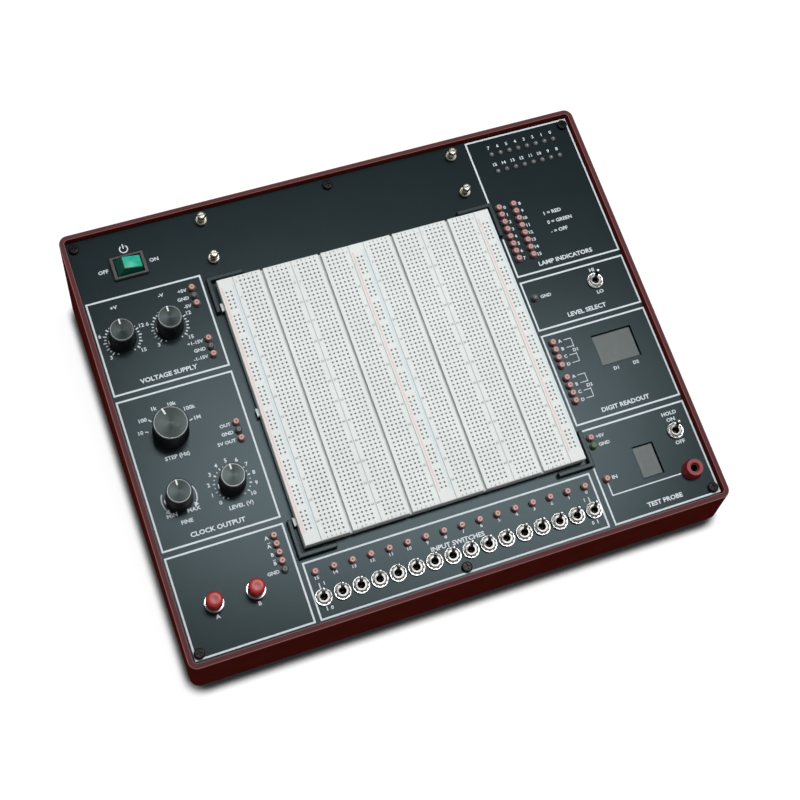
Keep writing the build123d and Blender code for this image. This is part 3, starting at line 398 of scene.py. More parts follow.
# Above these heights the rim's fillets and flat top are painted paler: a painted highlight and sheen in place of
# the gloss the case lacks.
mix_by_height(case_red, RIM_CREST, (0.4, 0.165, 0.155), 0.15, 0.9)
mix_by_height(case_red, RIM_FLAT, (0.098, 0.039, 0.043), 0.06)
surface(
    "panel_paint", (0.0064, 0.0118, 0.013), (0.0076, 0.0134, 0.0146), (0.225, 0.25),
    mottle=40, grain=2600, bump=0.15, bump_mm=0.02,
    gloss=0.14, tint=(0.72, 0.93, 1.0),
)
print_ink = surface("print_ink", (0.66, 0.71, 0.76), (0.57, 0.62, 0.67), (0.5, 0.6), **PRINT)
pointer_white = surface("pointer_white", (0.8, 0.8, 0.78), (0.74, 0.74, 0.72), **PRINT)
surface(
    "black_plastic", (0.012, 0.012, 0.013), (0.018, 0.018, 0.019), (0.38, 0.5),
    wear_and_highlight=(0.06, 0.06, 0.06), wear_and_highlight_mm=0.25, **PLASTIC,
)
knob_plastic = surface(
    "knob_plastic", (0.0055, 0.0055, 0.006), (0.009, 0.009, 0.01), (0.3, 0.42),
    mottle=700, grain=3000, bump=0.15, bump_mm=0.02, gloss=0.32,
)
knob_edge_metal = surface(
    "knob_edge_metal", (0.2, 0.21, 0.21), (0.16, 0.17, 0.17), (0.3, 0.4),
    metallic=1.0, mottle=900, grain=4000, bump=0.05, bump_mm=0.01,
)
surface(
    "black_screw", (0.005, 0.005, 0.005), (0.009, 0.009, 0.009), (0.24, 0.34),
    mottle=900, grain=3000, bump_mm=0.02,
    wear_and_highlight=(0.02, 0.02, 0.02), wear_and_highlight_mm=0.15, gloss=0.12,
)
surface(
    "foot_rubber", (0.016, 0.016, 0.016), (0.024, 0.024, 0.024), (0.75, 0.9),
    bump=0.4, bump_mm=0.08,
)
nickel = surface("nickel", (0.74, 0.73, 0.71), (0.62, 0.61, 0.59), (0.26, 0.4), bump=0.06, **METAL)
# Dark material for the nut's sunk ring and notches: painted shade in those hollows.
nut_painted_shade = surface(
    "nut_painted_shade", (0.02, 0.02, 0.02), (0.035, 0.035, 0.034), (0.35, 0.5),
    metallic=0.5, mottle=1200, grain=4000, bump_mm=0.01,
)
# The lever's dark metal colour is a painted reflection of the dark panel, and its top is painted near white, a
# painted highlight.
lever_metal = surface(
    "lever_metal", (0.16, 0.16, 0.165), (0.11, 0.11, 0.115), (0.1, 0.2), bump=0.05, **METAL
)
mix_by_height(lever_metal, box_mm("mode_lever")[1].z - 0.4, (0.8, 0.8, 0.79), 0.15)
bushing_metal = surface(
    "bushing_metal", (0.2, 0.2, 0.195), (0.14, 0.14, 0.135), (0.3, 0.42), bump=0.08, **METAL
)
# Near-black metal for the jack's contact deep in its socket: painted shade.
sunk_metal = surface(
    "sunk_metal", (0.045, 0.032, 0.028), (0.03, 0.022, 0.02), (0.4, 0.55),
    metallic=0.8, mottle=1200, grain=3500, bump_mm=0.02,
)
surface("steel", (0.42, 0.42, 0.41), (0.33, 0.33, 0.32), (0.25, 0.4), mottle=900, **PLATED)
post_metal = surface(
    "post_metal", (0.46, 0.45, 0.39), (0.34, 0.33, 0.28), (0.2, 0.38),
    mottle=1400, bump=0.12, **PLATED,
)
tin = surface("tin", (0.62, 0.6, 0.56), (0.46, 0.44, 0.4), (0.3, 0.45), **METAL)
surface(
    "circuit_green", (0.01, 0.055, 0.026), (0.008, 0.04, 0.018), (0.25, 0.4),
    mottle=150, grain=1200, bump=0.2,
)
terminal_red = surface("terminal_red", (0.115, 0.034, 0.036), (0.092, 0.028, 0.029), **TERMINAL)
# Above the crown height the red terminals are painted pale pink: a painted highlight on their tops.
mix_by_height(terminal_red, TERMINAL_CROWN, (0.46, 0.25, 0.235), 0.26)
terminal_black = surface("terminal_ground", (0.028, 0.032, 0.03), (0.04, 0.046, 0.042), **TERMINAL)
TO_FRONT_RIGHT = Vector((1, -1, 0)).normalized()
PROBE_GROUND_EDGE = 100.0  # only the test probe's ground terminal, the green one, is past it
mix_past(terminal_black, TO_FRONT_RIGHT, PROBE_GROUND_EDGE, (0.026, 0.085, 0.028))
button_red = surface(
    "button_red", (0.36, 0.014, 0.016), (0.3, 0.011, 0.013), (0.3, 0.42),
    bump=0.06, gloss=0.4, **SMOOTH_PLASTIC,
)
surface("jack_red", (0.25, 0.02, 0.022), (0.2, 0.016, 0.018), (0.34, 0.46), gloss=0.3, **SMOOTH_PLASTIC)
rocker_green = surface(
    "rocker_green", (0.004, 0.06, 0.045), (0.003, 0.045, 0.034), (0.22, 0.32),
    grain=2000, bump=0.06, bump_mm=0.02, gloss=0.3,
)
rocker_lens = surface(
    "rocker_lens", (0.012, 0.36, 0.235), (0.03, 0.46, 0.32), (0.3, 0.42),
    mottle=420, bump=0.2, bump_mm=0.03, gloss=0.2,
)
guide_plastic = surface(
    "guide_plastic", (0.011, 0.016, 0.017), (0.016, 0.022, 0.024), (0.3, 0.42),
    wear_and_highlight=(0.05, 0.06, 0.06), gloss=0.22, tint=(0.8, 0.95, 1.0), **PLASTIC,
)
surface(
    "lamp_grey", (0.16, 0.16, 0.165), (0.12, 0.12, 0.125), (0.12, 0.22),
    mottle=900, grain=3000, bump=0.03, bump_mm=0.01, coat=0.5,
)
digit_face = surface(
    "digit_face", (0.06, 0.079, 0.075), (0.053, 0.07, 0.067), (0.26, 0.34), mottle=200, **DIGIT
)
digit_segment = surface(
    "digit_segment", (0.063, 0.082, 0.078), (0.056, 0.073, 0.07), (0.3, 0.4), mottle=600, **DIGIT
)
board_white = surface(
    "board_white", (0.68, 0.71, 0.7), (0.64, 0.67, 0.66), (0.42, 0.55),
    mottle=35, grain=1800, bump=0.12, bump_mm=0.03,
)
socket_dark = surface(
    "socket_dark", (0.16, 0.165, 0.16), (0.12, 0.125, 0.12), (0.4, 0.6),
    metallic=0.4, mottle=900, grain=3000, bump_mm=0.02,
)
ink_red = surface("ink_red", (0.72, 0.52, 0.5), (0.66, 0.46, 0.44), mottle=1200, **INK)
ink_blue = surface("ink_blue", (0.52, 0.66, 0.71), (0.46, 0.6, 0.66), mottle=1200, **INK)
ink_grey = surface("ink_grey", (0.1, 0.105, 0.11), (0.14, 0.145, 0.15), mottle=1500, **INK)
surface(
    "backing_grey", (0.42, 0.43, 0.43), (0.36, 0.37, 0.37), (0.4, 0.55),
    metallic=0.3, bump_mm=0.03,
)
surface(
    "coil_dark", (0.06, 0.045, 0.035), (0.04, 0.032, 0.026), (0.4, 0.6),
    mottle=200, grain=900, bump=0.3, bump_mm=0.1,
)

SLOT_SURFACES = {  # where the slot and its surface have different names
    "panel": "panel_paint",
    "brass": "post_metal",
    "circuit_board": "circuit_green",
    "breadboard": "board_white",
    "board_backing": "backing_grey",
    "transformer": "coil_dark",
}


def dress_nodes():
    """Every CAD node gets the full material of its slot."""
    for subpart in frame["record"]["subparts"]:
        node = frame["nodes"][subpart["node"]]
        slot = subpart["material_slot"]
        node.data.materials.clear()
        node.data.materials.append(SURFACES[SLOT_SURFACES.get(slot, slot)])
        for face in node.data.polygons:
            face.material_index = 0
    frame["nodes"]["board_guides"].data.materials[0] = guide_plastic
    frame["nodes"]["toggle_bodies"].data.materials[0] = bushing_metal
    frame["nodes"]["jack_contact"].data.materials[0] = sunk_metal


# ---- Panel print
# Its places are millimetres from the panel's middle, or from the edge or control they belong to.
LINE = 1.05
TITLE = 2.75
LABEL = 2.3
SMALL = 2.05


def section(shape, left, right, front, back, gaps=()):
    """A printed box. gaps lists (side, from, to) stretches that the print leaves out."""
    for side, x0, y0, x1, y1 in (
        ("front", left, front, right, front),
        ("back", left, back, right, back),
        ("left", left, front, left, back),
        ("right", right, front, right, back),
    ):
        upright = side in ("left", "right")
        start, end = (y0 + LINE / 2, y1 - LINE / 2) if upright else (x0 - LINE / 2, x1 + LINE / 2)
        for a, b in sorted((a, b) for name, a, b in gaps if name == side):
            stretch(shape, upright, x0, y0, start, a)
            start = b
        stretch(shape, upright, x0, y0, start, end)


def stretch(shape, upright, x, y, start, end):
    if end > start:
        ends = (x, start, x, end) if upright else (start, y, end, y)
        bar(shape, *ends, LINE)


def volts_scale(shape, centre):
    """Ticks round a supply knob, numbers at every third volt and a dot at each end."""
    step = 134.0 / 6
    for half in range(25):
        degrees = -134 + half * step / 2
        long = half % 2 == 0
        tick(shape, centre, 9.3, 11.2 if long else 10.5, degrees, 0.75)
    for side in (-149, 149):
        dot(shape, *polar(centre, 9.4, side), 0.45)
    numbers = (("3", -134, 12.9), ("6", -67, 13.2), ("12", 67, 13.6), ("15", 134, 13.6))
    for number, degrees, radius in numbers:
        x, y = polar(centre, radius, degrees)
        write(shape, number, x, y, LABEL)


def ten_scale(shape, centre):
    """Numbers 0 to 10 round the level knob, with ticks and dots between."""
    for number in range(11):
        degrees = -134 + 26.8 * number
        tick(shape, centre, 9.6, 11.1, degrees, 0.7)
        x, y = polar(centre, 13.4, degrees)
        write(shape, str(number), x, y, LABEL)
        if number < 10:
            dot(shape, *polar(centre, 10.2, degrees + 13.4), 0.4)
    for side in (-149, 149):
        dot(shape, *polar(centre, 9.6, side), 0.4)


def min_max_scale(shape, centre):
    """Two arrowed arcs that run down to MIN and MAX."""
    for side in (-1, 1):
        arc(shape, centre, 9.9, side * 62, side * 124, 0.6)
        tip_x, tip_y = polar(centre, 10.3, side * 137)
        wing_a = polar(centre, 8.6, side * 122)
        wing_b = polar(centre, 11.4, side * 122)
        head = [(tip_x, tip_y, PRINT_Z), (*wing_a, PRINT_Z), (*wing_b, PRINT_Z)]
        shape.add(head, [[0, 1, 2] if side < 0 else [0, 2, 1]])
    write(shape, "MIN", centre.x - 6.6, centre.y - 8.3, LABEL)
    write(shape, "MAX", centre.x + 6.0, centre.y - 8.3, LABEL)


def step_scale(shape, centre):
    """Six marked positions of the rotary switch."""
    labels = ("10", "100", "1k", "10k", "100k", "1M")
    for index, label in enumerate(labels):
        degrees = -75 + 30 * index
        tick(shape, centre, 12.4, 14.4, degrees, 0.7)
        x, y = polar(centre, 15.4, degrees)
        align = "RIGHT" if degrees < -30 else "LEFT" if degrees > 30 else "CENTER"
        if align == "CENTER":
            y += 1.0
            x += -1.2 if degrees < 0 else 1.2
        write(shape, label, x, y, LABEL, align=align)


def power_symbol(shape, x, y):
    centre = Vector((x, y, 0))
    arc(shape, centre, 2.3, 35, 325, 0.7)
    bar(shape, x, y + 0.2, x, y + 3.2, 0.7)


def overbar(shape, x, y, width):
    bar(shape, x - width / 2, y + LABEL / 2 + 0.6, x + width / 2, y + LABEL / 2 + 0.6, 0.35)


def print_sections(shape):
    outer_left = LEFT + 1.6
    outer_right = RIGHT - 1.0
    inner_left = LEFT + 69.1
    inner_right = RIGHT - 68.4
    guide_low, guide_high = box_mm("board_guides")
    guide_leg = 23.8
    by_guide = ("left", guide_high.y - guide_leg, guide_high.y + 0.6)
    below_guide = ("left", guide_low.y - 0.6, FRONT + 60.1)
    under_guide = ("back", inner_right - LINE, guide_high.x + 1.6)
    for front, back in (
        (BACK - 98.2, BACK - 40.4),
        (FRONT + 64.4, BACK - 102.4),
        (FRONT + 2.0, FRONT + 60.2),
    ):
        section(shape, outer_left, inner_left, front, back)
    for front, back, gaps in (
        (BACK - 94.2, BACK - 1.3, [by_guide]),
        (FRONT + 126.5, BACK - 98.5, []),
        (FRONT + 64.4, FRONT + 122.5, []),
        (FRONT + 1.8, FRONT + 60.1, [below_guide, under_guide]),
    ):
        section(shape, inner_right, outer_right, front, back, gaps)
    section(shape, -87.3, 87.6, FRONT + 2.0, FRONT + 35.0)
    for text, x, y in (
        ("VOLTAGE SUPPLY", -125.4, 34.8),
        ("CLOCK OUTPUT", -125.5, -59.3),
        ("LAMP INDICATORS", 125.2, 38.9),
        ("LEVEL SELECT", 125.2, 2.8),
        ("DIGIT READOUT", 125.5, -59.4),
        ("TEST PROBE", 125.5, -121.5),
        ("INPUT SWITCHES", 0.3, -107.9),
    ):
        write(shape, text, x, y, TITLE, weight=0.11)


def print_controls(shape):
    """Scales of the knobs and names of the single controls."""
    rocker_at = middle("rocker_housing")
    mode = pivot_mm("mode_lever_throw")
    memory = pivot_mm("memory_lever_throw")
    power_symbol(shape, rocker_at.x, rocker_at.y + 11.4)
    for text, name in (("+V", "positive_volts_turn"), ("-V", "negative_volts_turn")):
        centre = pivot_mm(name)
        volts_scale(shape, centre)
        write(shape, text, centre.x + 0.3, centre.y + 20.1, LABEL)
    step_scale(shape, pivot_mm("clock_range_turn"))
    min_max_scale(shape, pivot_mm("clock_rate_turn"))
    ten_scale(shape, pivot_mm("clock_level_turn"))
    for text, x, y in (
        ("OFF", rocker_at.x - 15.2, rocker_at.y + 0.4),
        ("ON", rocker_at.x + 15.0, rocker_at.y + 0.4),
        ("STEP (Hz)", -135.0, -13.4),
        ("FINE", -140.6, -51.1),
        ("LEVEL (V)", -109.4, -51.1),
        ("A", middle("pulse_button_a").x, box_mm("pulse_button_a")[0].y - 2.8),
        ("B", middle("pulse_button_b").x, box_mm("pulse_button_b")[0].y - 2.8),
        ("HI", mode.x + 1.0, mode.y + 7.7),
        ("LO", mode.x + 1.0, mode.y - 6.9),
        ("HOLD", memory.x + 0.8, memory.y + 11.4),
        ("ON", memory.x + 0.4, memory.y + 7.5),
        ("OFF", memory.x + 0.7, memory.y - 7.0),
    ):
        write(shape, text, x, y, LABEL)


def print_left_terminals(shape):
    labels_x = -100.9
    pulse_y = FRONT + 54.95
    labels = [
        ("+5V", 81.6), ("GND", 76.6), ("-5V", 71.6),
        ("+1-15V", 48.8), ("GND", 43.8), ("-1-15V", 38.8),
        ("OUT", -4.1), ("GND", -9.1), ("5V OUT", -14.1),
    ]
    labels += [(text, pulse_y - 5 * i) for i, text in enumerate(("A", "A", "B", "B", "GND"))]
    for text, y in labels:
        write(shape, text, labels_x, y, SMALL, align="RIGHT")
    for i in (1, 3):
        overbar(shape, labels_x - 0.75, pulse_y - 5 * i, 1.7)


def print_lamps(shape):
    """Numbers of the lamps and of the terminals that light them, and what the colours mean."""
    low, high = box_mm("lamps")
    lamp_radius = 1.9
    for row, y in enumerate((high.y - lamp_radius + 5.4, low.y + lamp_radius + 5.2)):
        for i in range(8):
            x = low.x + lamp_radius + i * (high.x - low.x - 2 * lamp_radius) / 7
            write(shape, str(7 - i + 8 * row), x, y, SMALL)
    for i in range(8):
        y = 80.2 - 5 * i
        write(shape, str(i), 100.4, y, SMALL)
        write(shape, str(8 + i), 110.4, y, SMALL)
    for i, text in enumerate(("1 = RED", "0 = GREEN", "- = OFF")):
        write(shape, text, 122.6, 69.7 - 6.35 * i, LABEL, align="LEFT")


def print_right_terminals(shape):
    """Names of the digits' terminals with their brackets, and the test probe's lead to its socket."""
    for first, name, name_y in ((-11.6, "D1", -19.1), (-34.8, "D2", -42.3)):
        bracket_x = 108.6
        for i, text in enumerate("ABCD"):
            y = first - 5 * i
            write(shape, text, 101.5, y, SMALL)
            bar(shape, 103.9, y, bracket_x, y, 0.4)
        bar(shape, bracket_x, first + 0.2, bracket_x, name_y + 1.8, 0.4)
        bar(shape, bracket_x, name_y - 1.8, bracket_x, first - 15.2, 0.4)
        write(shape, name, bracket_x + 0.2, name_y, SMALL)
    for name, x in (("D1", 128.5), ("D2", 141.6)):
        write(shape, name, x, -37.2, SMALL)
    input_y = FRONT + 28.75
    for text, x, y, height in (
        ("GND", 100.6, 18.4, SMALL),
        ("+5V", 100.3, FRONT + 54.75, SMALL),
        ("GND", 100.3, FRONT + 49.75, SMALL),
        ("IN", 100.3, input_y, LABEL),
    ):
        write(shape, text, x, y, height, align="LEFT")
    jack_y = middle("banana_jack").y
    bar(shape, 96.6, input_y - 2.2, 96.6, jack_y + 0.4, 0.7)
    bar(shape, 96.25, jack_y, box_mm("banana_jack")[0].x - 0.6, jack_y, 0.7)


def print_switches(shape):
    """Numbers of the data switches, and the throw marks beside the two end ones."""
    for number in range(16):
        throw = pivot_mm(f"data_lever_{number}_throw")
        write(shape, str(number), throw.x, throw.y + 11.7, SMALL)
    for number, inner in ((15, 1), (0, -1)):
        throw = pivot_mm(f"data_lever_{number}_throw")
        bar(shape, throw.x, throw.y + 5.2, throw.x, throw.y + 8.4, 0.6)
        bar(shape, throw.x, throw.y - 7.7, throw.x, throw.y - 5.2, 0.6)
        write(shape, "1", throw.x + inner * 2.9, throw.y + 7.6, SMALL)
        write(shape, "0", throw.x + inner * 2.9, throw.y - 6.6, SMALL)


def panel_print():
    shape = Shape()
    print_sections(shape)
    print_controls(shape)
    print_left_terminals(shape)
    print_lamps(shape)
    print_right_terminals(shape)
    print_switches(shape)
    shape.make("panel_print", [print_ink], ROOT, slot="panel", smooth=0)


# ---- Breadboard
STRIP_LOW, STRIP_HIGH = box_mm("socket_strips")
TOP, BOTTOM = STRIP_HIGH.z, STRIP_LOW.z
PLATE_LOW, PLATE_HIGH = box_mm("board_plate")
BOARD_Y = (PLATE_LOW.y + PLATE_HIGH.y) / 2
BOARD_DEPTH = PLATE_HIGH.y - PLATE_LOW.y
PITCH = 2.54
HOLE = 0.56
HOLE_THROAT = 0.43
ROWS = 63
EDGE = 0.4
BUS_WIDTH = 9.5
STRIP_GAP = 0.04
INK_HEIGHT = 0.02
GROOVE = 0.9  # half its width
GROOVE_DEPTH = 3.0


def square_rings(rows, x, y):
    """Points of square rings about (x, y), one ring for each (half width, half depth, height)."""
    return [(x + side_x * a, y + side_y * b, z) for a, b, z in rows for side_x, side_y in SQUARE]


def square_bands(count):
    """Faces between square rings of points, each ring to the next."""
    faces = []
    for start in range(0, 4 * count, 4):
        faces += bridge(range(start, start + 4), range(start + 4, start + 8))
    return faces


def grid_face(shape, lines_x, is_hole, groove=None):
    """A strip's top ruled into cells. Some cells hold a tapered square socket, a groove's are left open."""
    face_y = BOARD_DEPTH / 2 - EDGE
    row_edges = [(k - ROWS / 2) * PITCH for k in range(ROWS + 1)]
    lines_y = [BOARD_Y + y for y in [-face_y] + row_edges + [face_y]]
    for i, (x0, x1) in enumerate(zip(lines_x, lines_x[1:])):
        if i == groove:
            continue
        for j, (y0, y1) in enumerate(zip(lines_y, lines_y[1:])):
            x, y = (x0 + x1) / 2, (y0 + y1) / 2
            cell = ((x1 - x0) / 2, (y1 - y0) / 2, TOP)
            if not is_hole(i, j):
                shape.add(square_rings([cell], x, y), [[0, 1, 2, 3]])
                continue
            rings = [
                cell,
                (HOLE, HOLE, TOP),
                (HOLE_THROAT, HOLE_THROAT, TOP - 0.35),
                (HOLE_THROAT - 0.05, HOLE_THROAT - 0.05, TOP - 1.5),
            ]
            shape.add(square_rings(rings, x, y), square_bands(3))
            shape.add(square_rings(rings[3:], x, y), [[0, 1, 2, 3]], 1)


def skirt(shape, width, centre):
    """Rounded top edge, walls and underside of a strip whose face stops EDGE short."""
    half_x, half_y = width / 2, BOARD_DEPTH / 2
    rows = []
    for inset, drop in ((EDGE, 0), (EDGE * 0.3, EDGE * 0.3), (0, EDGE)):
        rows.append((half_x - inset, half_y - inset, TOP - drop))
    rows.append((half_x, half_y, BOTTOM))
    faces = [face[::-1] for face in square_bands(3)]
    shape.add(square_rings(rows, centre, BOARD_Y), faces + [[15, 14, 13, 12]])


def bus_strip(buses, prints, centre):
    """A strip of two columns in groups of five, between a red and a blue line."""
    width = BUS_WIDTH - STRIP_GAP
    face_x = width / 2 - EDGE
    lines_x = [centre + x for x in (-face_x, -PITCH, 0, PITCH, face_x)]

    def is_hole(i, j):
        row = ROWS - j
        return i in (1, 2) and 2 <= row < 61 and (row - 2) % 6 != 5

    grid_face(buses, lines_x, is_hole)
    skirt(buses, width, centre)
    for shift, slot in ((-3.2, 1), (3.6, 2)):
        x = centre + shift
        bar(prints, x, BOARD_Y - 75.5, x, BOARD_Y + 77.4, 0.95, TOP + INK_HEIGHT, slot)


def socket_strip(sockets, prints, centre, width):
    """A strip of two fives of columns with a groove between, row numbers and column letters."""
    face_x = width / 2 - EDGE
    right_side = [GROOVE] + [PITCH * k for k in range(1, 7)] + [face_x]
    lines_x = [centre + x for x in [-x for x in reversed(right_side)] + right_side]
    columns = set(range(1, 6)) | set(range(9, 14))

    def is_hole(i, j):
        return i in columns and 1 <= j <= ROWS

    grid_face(sockets, lines_x, is_hole, groove=7)
    split_skirt(sockets, width, centre)
    marks = []
    for row in [1] + list(range(5, 61, 5)):
        y = BOARD_Y + (ROWS / 2 - row + 0.5) * PITCH
        marks += [(str(row), centre + side * 16.2, y, 1.35) for side in (-1, 1)]
    for i, letter in enumerate("abcdefghij"):
        x = centre + (i - 4.5 + (-1 if i < 5 else 1)) * PITCH
        marks += [(letter, x, BOARD_Y + side * 81.2, 1.3) for side in (-1, 1)]
    for text, x, y, height in marks:
        write(prints, text, x, y, height, TOP + INK_HEIGHT, weight=0.03, wide=1)


def breadboard():
    socket_width = (PLATE_HIGH.x - PLATE_LOW.x - 3 * BUS_WIDTH) / 4
    sockets = Shape()
    buses = Shape()
    prints = Shape()
    edge = PLATE_LOW.x
    for kind in ("bus", "socket", "socket", "bus", "socket", "socket", "bus"):
        width = BUS_WIDTH if kind == "bus" else socket_width
        centre = edge + width / 2
        edge += width
        if kind == "bus":
            bus_strip(buses, prints, centre)
        else:
            socket_strip(sockets, prints, centre, width - STRIP_GAP)
    add_dovetails(buses)
    for shape, name in ((sockets, "socket_strips"), (buses, "bus_strips")):
        shape.make(
            f"{name}_detail", [board_white, socket_dark], BREADBOARD,
            replaces=[name], slot="breadboard", smooth=30,
        )
    prints.make(
        "breadboard_print", [ink_grey, ink_red, ink_blue], BREADBOARD,
        slot="breadboard", smooth=0,
    )


def split_skirt(shape, width, centre):
    """Skirt of a socket strip, with the walls and floor of its centre groove."""
    floor = TOP - GROOVE_DEPTH
    half_x = width / 2
    outer = [
        (half_x - EDGE, TOP, EDGE),
        (half_x - EDGE * 0.3, TOP - EDGE * 0.3, EDGE * 0.3),
        (half_x, TOP - EDGE, 0),
        (half_x, BOTTOM, 0),
    ]
    inner = [(GROOVE, TOP, EDGE), (GROOVE, floor, 0), (0, floor, 0)]
    end_wall = outer + [(0, BOTTOM, 0)] + inner[::-1]
    end_wall.insert(-1, (GROOVE, TOP - EDGE, 0))
    for side in (-1, 1):

        def point(x, z, inset, end):
            return centre + side * x, BOARD_Y + end * (BOARD_DEPTH / 2 - inset), z

        for run in (outer, inner):
            for a, b in zip(run, run[1:]):
                points = [point(*a, -1), point(*b, -1), point(*b, 1), point(*a, 1)]
                shape.add(points, [[0, 1, 2, 3] if side > 0 else [3, 2, 1, 0]])
        for end in (-1, 1):
            faces = [[2, 3, 4, 5, 6, 7], [0, 2, 7, 8]]
            if side * end < 0:
                faces = [face[::-1] for face in faces]
            shape.add([point(*p, end) for p in end_wall], faces)
        under = [point(x, BOTTOM, 0, end) for x, end in ((0, -1), (half_x, -1), (half_x, 1), (0, 1))]
        shape.add(under, [[3, 2, 1, 0] if side > 0 else [0, 1, 2, 3]])


def add_dovetails(shape):
    """Joining tabs on the board's left side."""
    corners = ((-1.65, -2.5), (-1.65, 2.5), (0.1, 1.9), (0.1, -1.9))
    for step in (-1, 0, 1):
        y = BOARD_Y + step * 67
        heights = (BOTTOM + 1.5, BOTTOM + 3.5)
        sections = [[(PLATE_LOW.x + x, y + across, z) for x, across in corners] for z in heights]
        shape.add(*loft(sections))


# ---- Knobs
def knob(prefix, ribs, pointer_turn):
    """Ribbed body with its hollow underside, a turned metal cap and a white pointer."""
    low, high = box_mm(f"{prefix}_knob")
    centre = pivot_mm(f"{prefix}_turn")
    body_name = f"{prefix}_control"
    base = (high.x - low.x) / 2
    top = high.z
    skirt_z = low.z
    height = top - skirt_z
    crown = base - (0.6 if base < 9 else 0.4)
    recess = base - (1.68 if base < 9 else 2.55)
    recess_top = skirt_z + 4.55
    depth = 0.34
    segments = ribs * 4
    place = at(centre.x, centre.y)
    profile = [
        (3.02, recess_top),
        (recess, recess_top),
        (recess, skirt_z),
        (base - 0.25, skirt_z),
        (base, skirt_z + 0.25),
        (base, skirt_z + 1.3),
        (base - 0.12, skirt_z + 1.5, 0.0),
        (base - 0.12, skirt_z + 1.7, depth),
        (base - 0.3 * (base - crown) - 0.1, skirt_z + height * 0.4, depth),
        (crown + 0.08, top - 1.5, depth),
        (crown + 0.02, top - 1.1, depth * 0.5),
        (crown, top - 0.95, 0.0),
        (crown, top - 0.7, 0.0),
        (crown - 0.35, top - 0.5, 0.0),
    ]
    body = Shape()
    body.add(*lathe(profile, segments, (0.0, 0.75, 1.0, 0.75)), place=place)
    body.make(
        f"{prefix}_knob_body", [knob_plastic], body_name,
        replaces=[f"{prefix}_knob"], slot="black_plastic", smooth=38,
    )

    disc = crown - 0.35
    cap = Shape()
    rim = [(disc, top - 0.75), (disc, top - 0.4), (disc - 0.42, top - 0.02), (disc - 0.6, top - 0.02)]
    cap.add(*lathe(rim + [(disc - 0.72, top - 0.16)], 96), 1, place)
    rings = [(disc - 0.72, top - 0.16)]
    turns = 9
    for k in range(1, turns):
        radius = (disc - 0.72) * (1 - k / turns)
        rings.append((radius, top - 0.16 + 0.05 * math.cos(math.pi * k / turns) - 0.05))
    rings.append((0, top - 0.24))
    cap.add(*lathe(rings, 96), 0, place)
    cap.make(f"{prefix}_knob_cap", [spun_cap(prefix, centre), knob_edge_metal], body_name, slot="steel")

    line = Shape()
    length, width = (3.3, 0.9) if base < 9 else (3.9, 1.0)
    sections = []
    for grow, z in ((0.0, top - 0.3), (0.0, top - 0.06), (-0.24, top)):
        sections.append(rounded_outline(width + grow, length + grow, 0.28, z, 3))
    turned = at(centre.x, centre.y, 0, pointer_turn) @ at(0, disc - 0.15 - length / 2)
    line.add(*loft(sections), 0, turned)
    line.make(f"{prefix}_pointer", [pointer_white], body_name, slot="black_plastic")


SHEEN_TURN = 40.0  # degrees
SHEEN_LOW = 0.62
SHEEN_HIGH = 1.5


def spun_cap(prefix, centre):
    """Turned metal: fine rings about the knob's own axis, and a painted sheen in its colour that waxes twice round
    it.
    """
    made = surface(
        f"{prefix}_cap_metal", (0.023, 0.028, 0.028), (0.019, 0.023, 0.023), metallic=1.0,
        roughness=(0.30, 0.40), mottle=500, grain=4000, bump=0.0,
    )
    tree = made.node_tree
    inputs = {
        "Vector": output(tree, "TexCoord", "Object", {}),
        "Rotation": FLAT.to_euler(),
        "Location": -(ORIGIN + centre * MM),
    }
    place = output(tree, "Mapping", "Vector", inputs)
    inputs = {"Vector": place, "Scale": 900, "Distortion": 0.4}
    rings = output(tree, "TexWave", "Color", inputs, wave_type="RINGS", rings_direction="Z")
    relief = {"Strength": 0.35, "Distance": 0.02 * MM, "Height": rings}

    # Painted sheen: the cap's colour is scaled up and down twice round its axis.
    about = output(tree, "TexGradient", "Fac", {"Vector": place}, gradient_type="RADIAL")
    inputs = {0: about, 1: 4 * math.pi, 2: math.radians(SHEEN_TURN)}
    cycle = output(tree, "Math", "Value", inputs, operation="MULTIPLY_ADD")
    swing = output(tree, "Math", "Value", {0: cycle}, operation="COSINE")
    inputs = {"From Min": -1.0, "To Min": SHEEN_LOW, "To Max": SHEEN_HIGH, "Value": swing}
    sheen = output(tree, "MapRange", "Result", inputs)
    inputs = {0: colour_of(made), "Scale": sheen}
    inputs = {
        "Normal": output(tree, "Bump", "Normal", relief),
        "Anisotropic": 0.6,
        "Base Color": output(tree, "VectorMath", "Vector", inputs, operation="SCALE"),
    }
    wire(tree, shader_of(made), inputs)
    return made


# ---- Wire terminals
CONTACT_REACH = 2.5  # half the distance between two terminals


def terminal_mouths():
    """Tinned funnel at the top of each terminal's hole, down to the contact under it."""
    top = box_mm("red_terminals")[1].z
    shape = Shape()
    profile = [
        (0.53, top - 1.5),
        (0.53, top - 0.06),
        (0.49, top - 0.02),
        (0.44, top - 0.04),
        (0.24, top - 0.30),
        (0.22, top - 1.0),
    ]
    for x, y in round_centres("terminal_contacts"):
        shape.add(*lathe(profile, 14), place=at(x, y))
    shape.make("terminal_mouths", [tin], ROOT, slot="tin", smooth=50)


def round_centres(node):
    """Middles of a node's round solids, which stand more than CONTACT_REACH apart."""
    groups = []
    for vertex in frame["nodes"][node].data.vertices:
        x, y, _ = (FLAT @ vertex.co - ORIGIN) / MM
        near = [group for group in groups if math.dist((x, y), group[0]) < CONTACT_REACH]
        if near:
            near[0].append((x, y))
        else:
            groups.append([(x, y)])
    centres = []
    for group in groups:
        xs, ys = zip(*group)
        centres.append(((min(xs) + max(xs)) / 2, (min(ys) + max(ys)) / 2))
    return centres


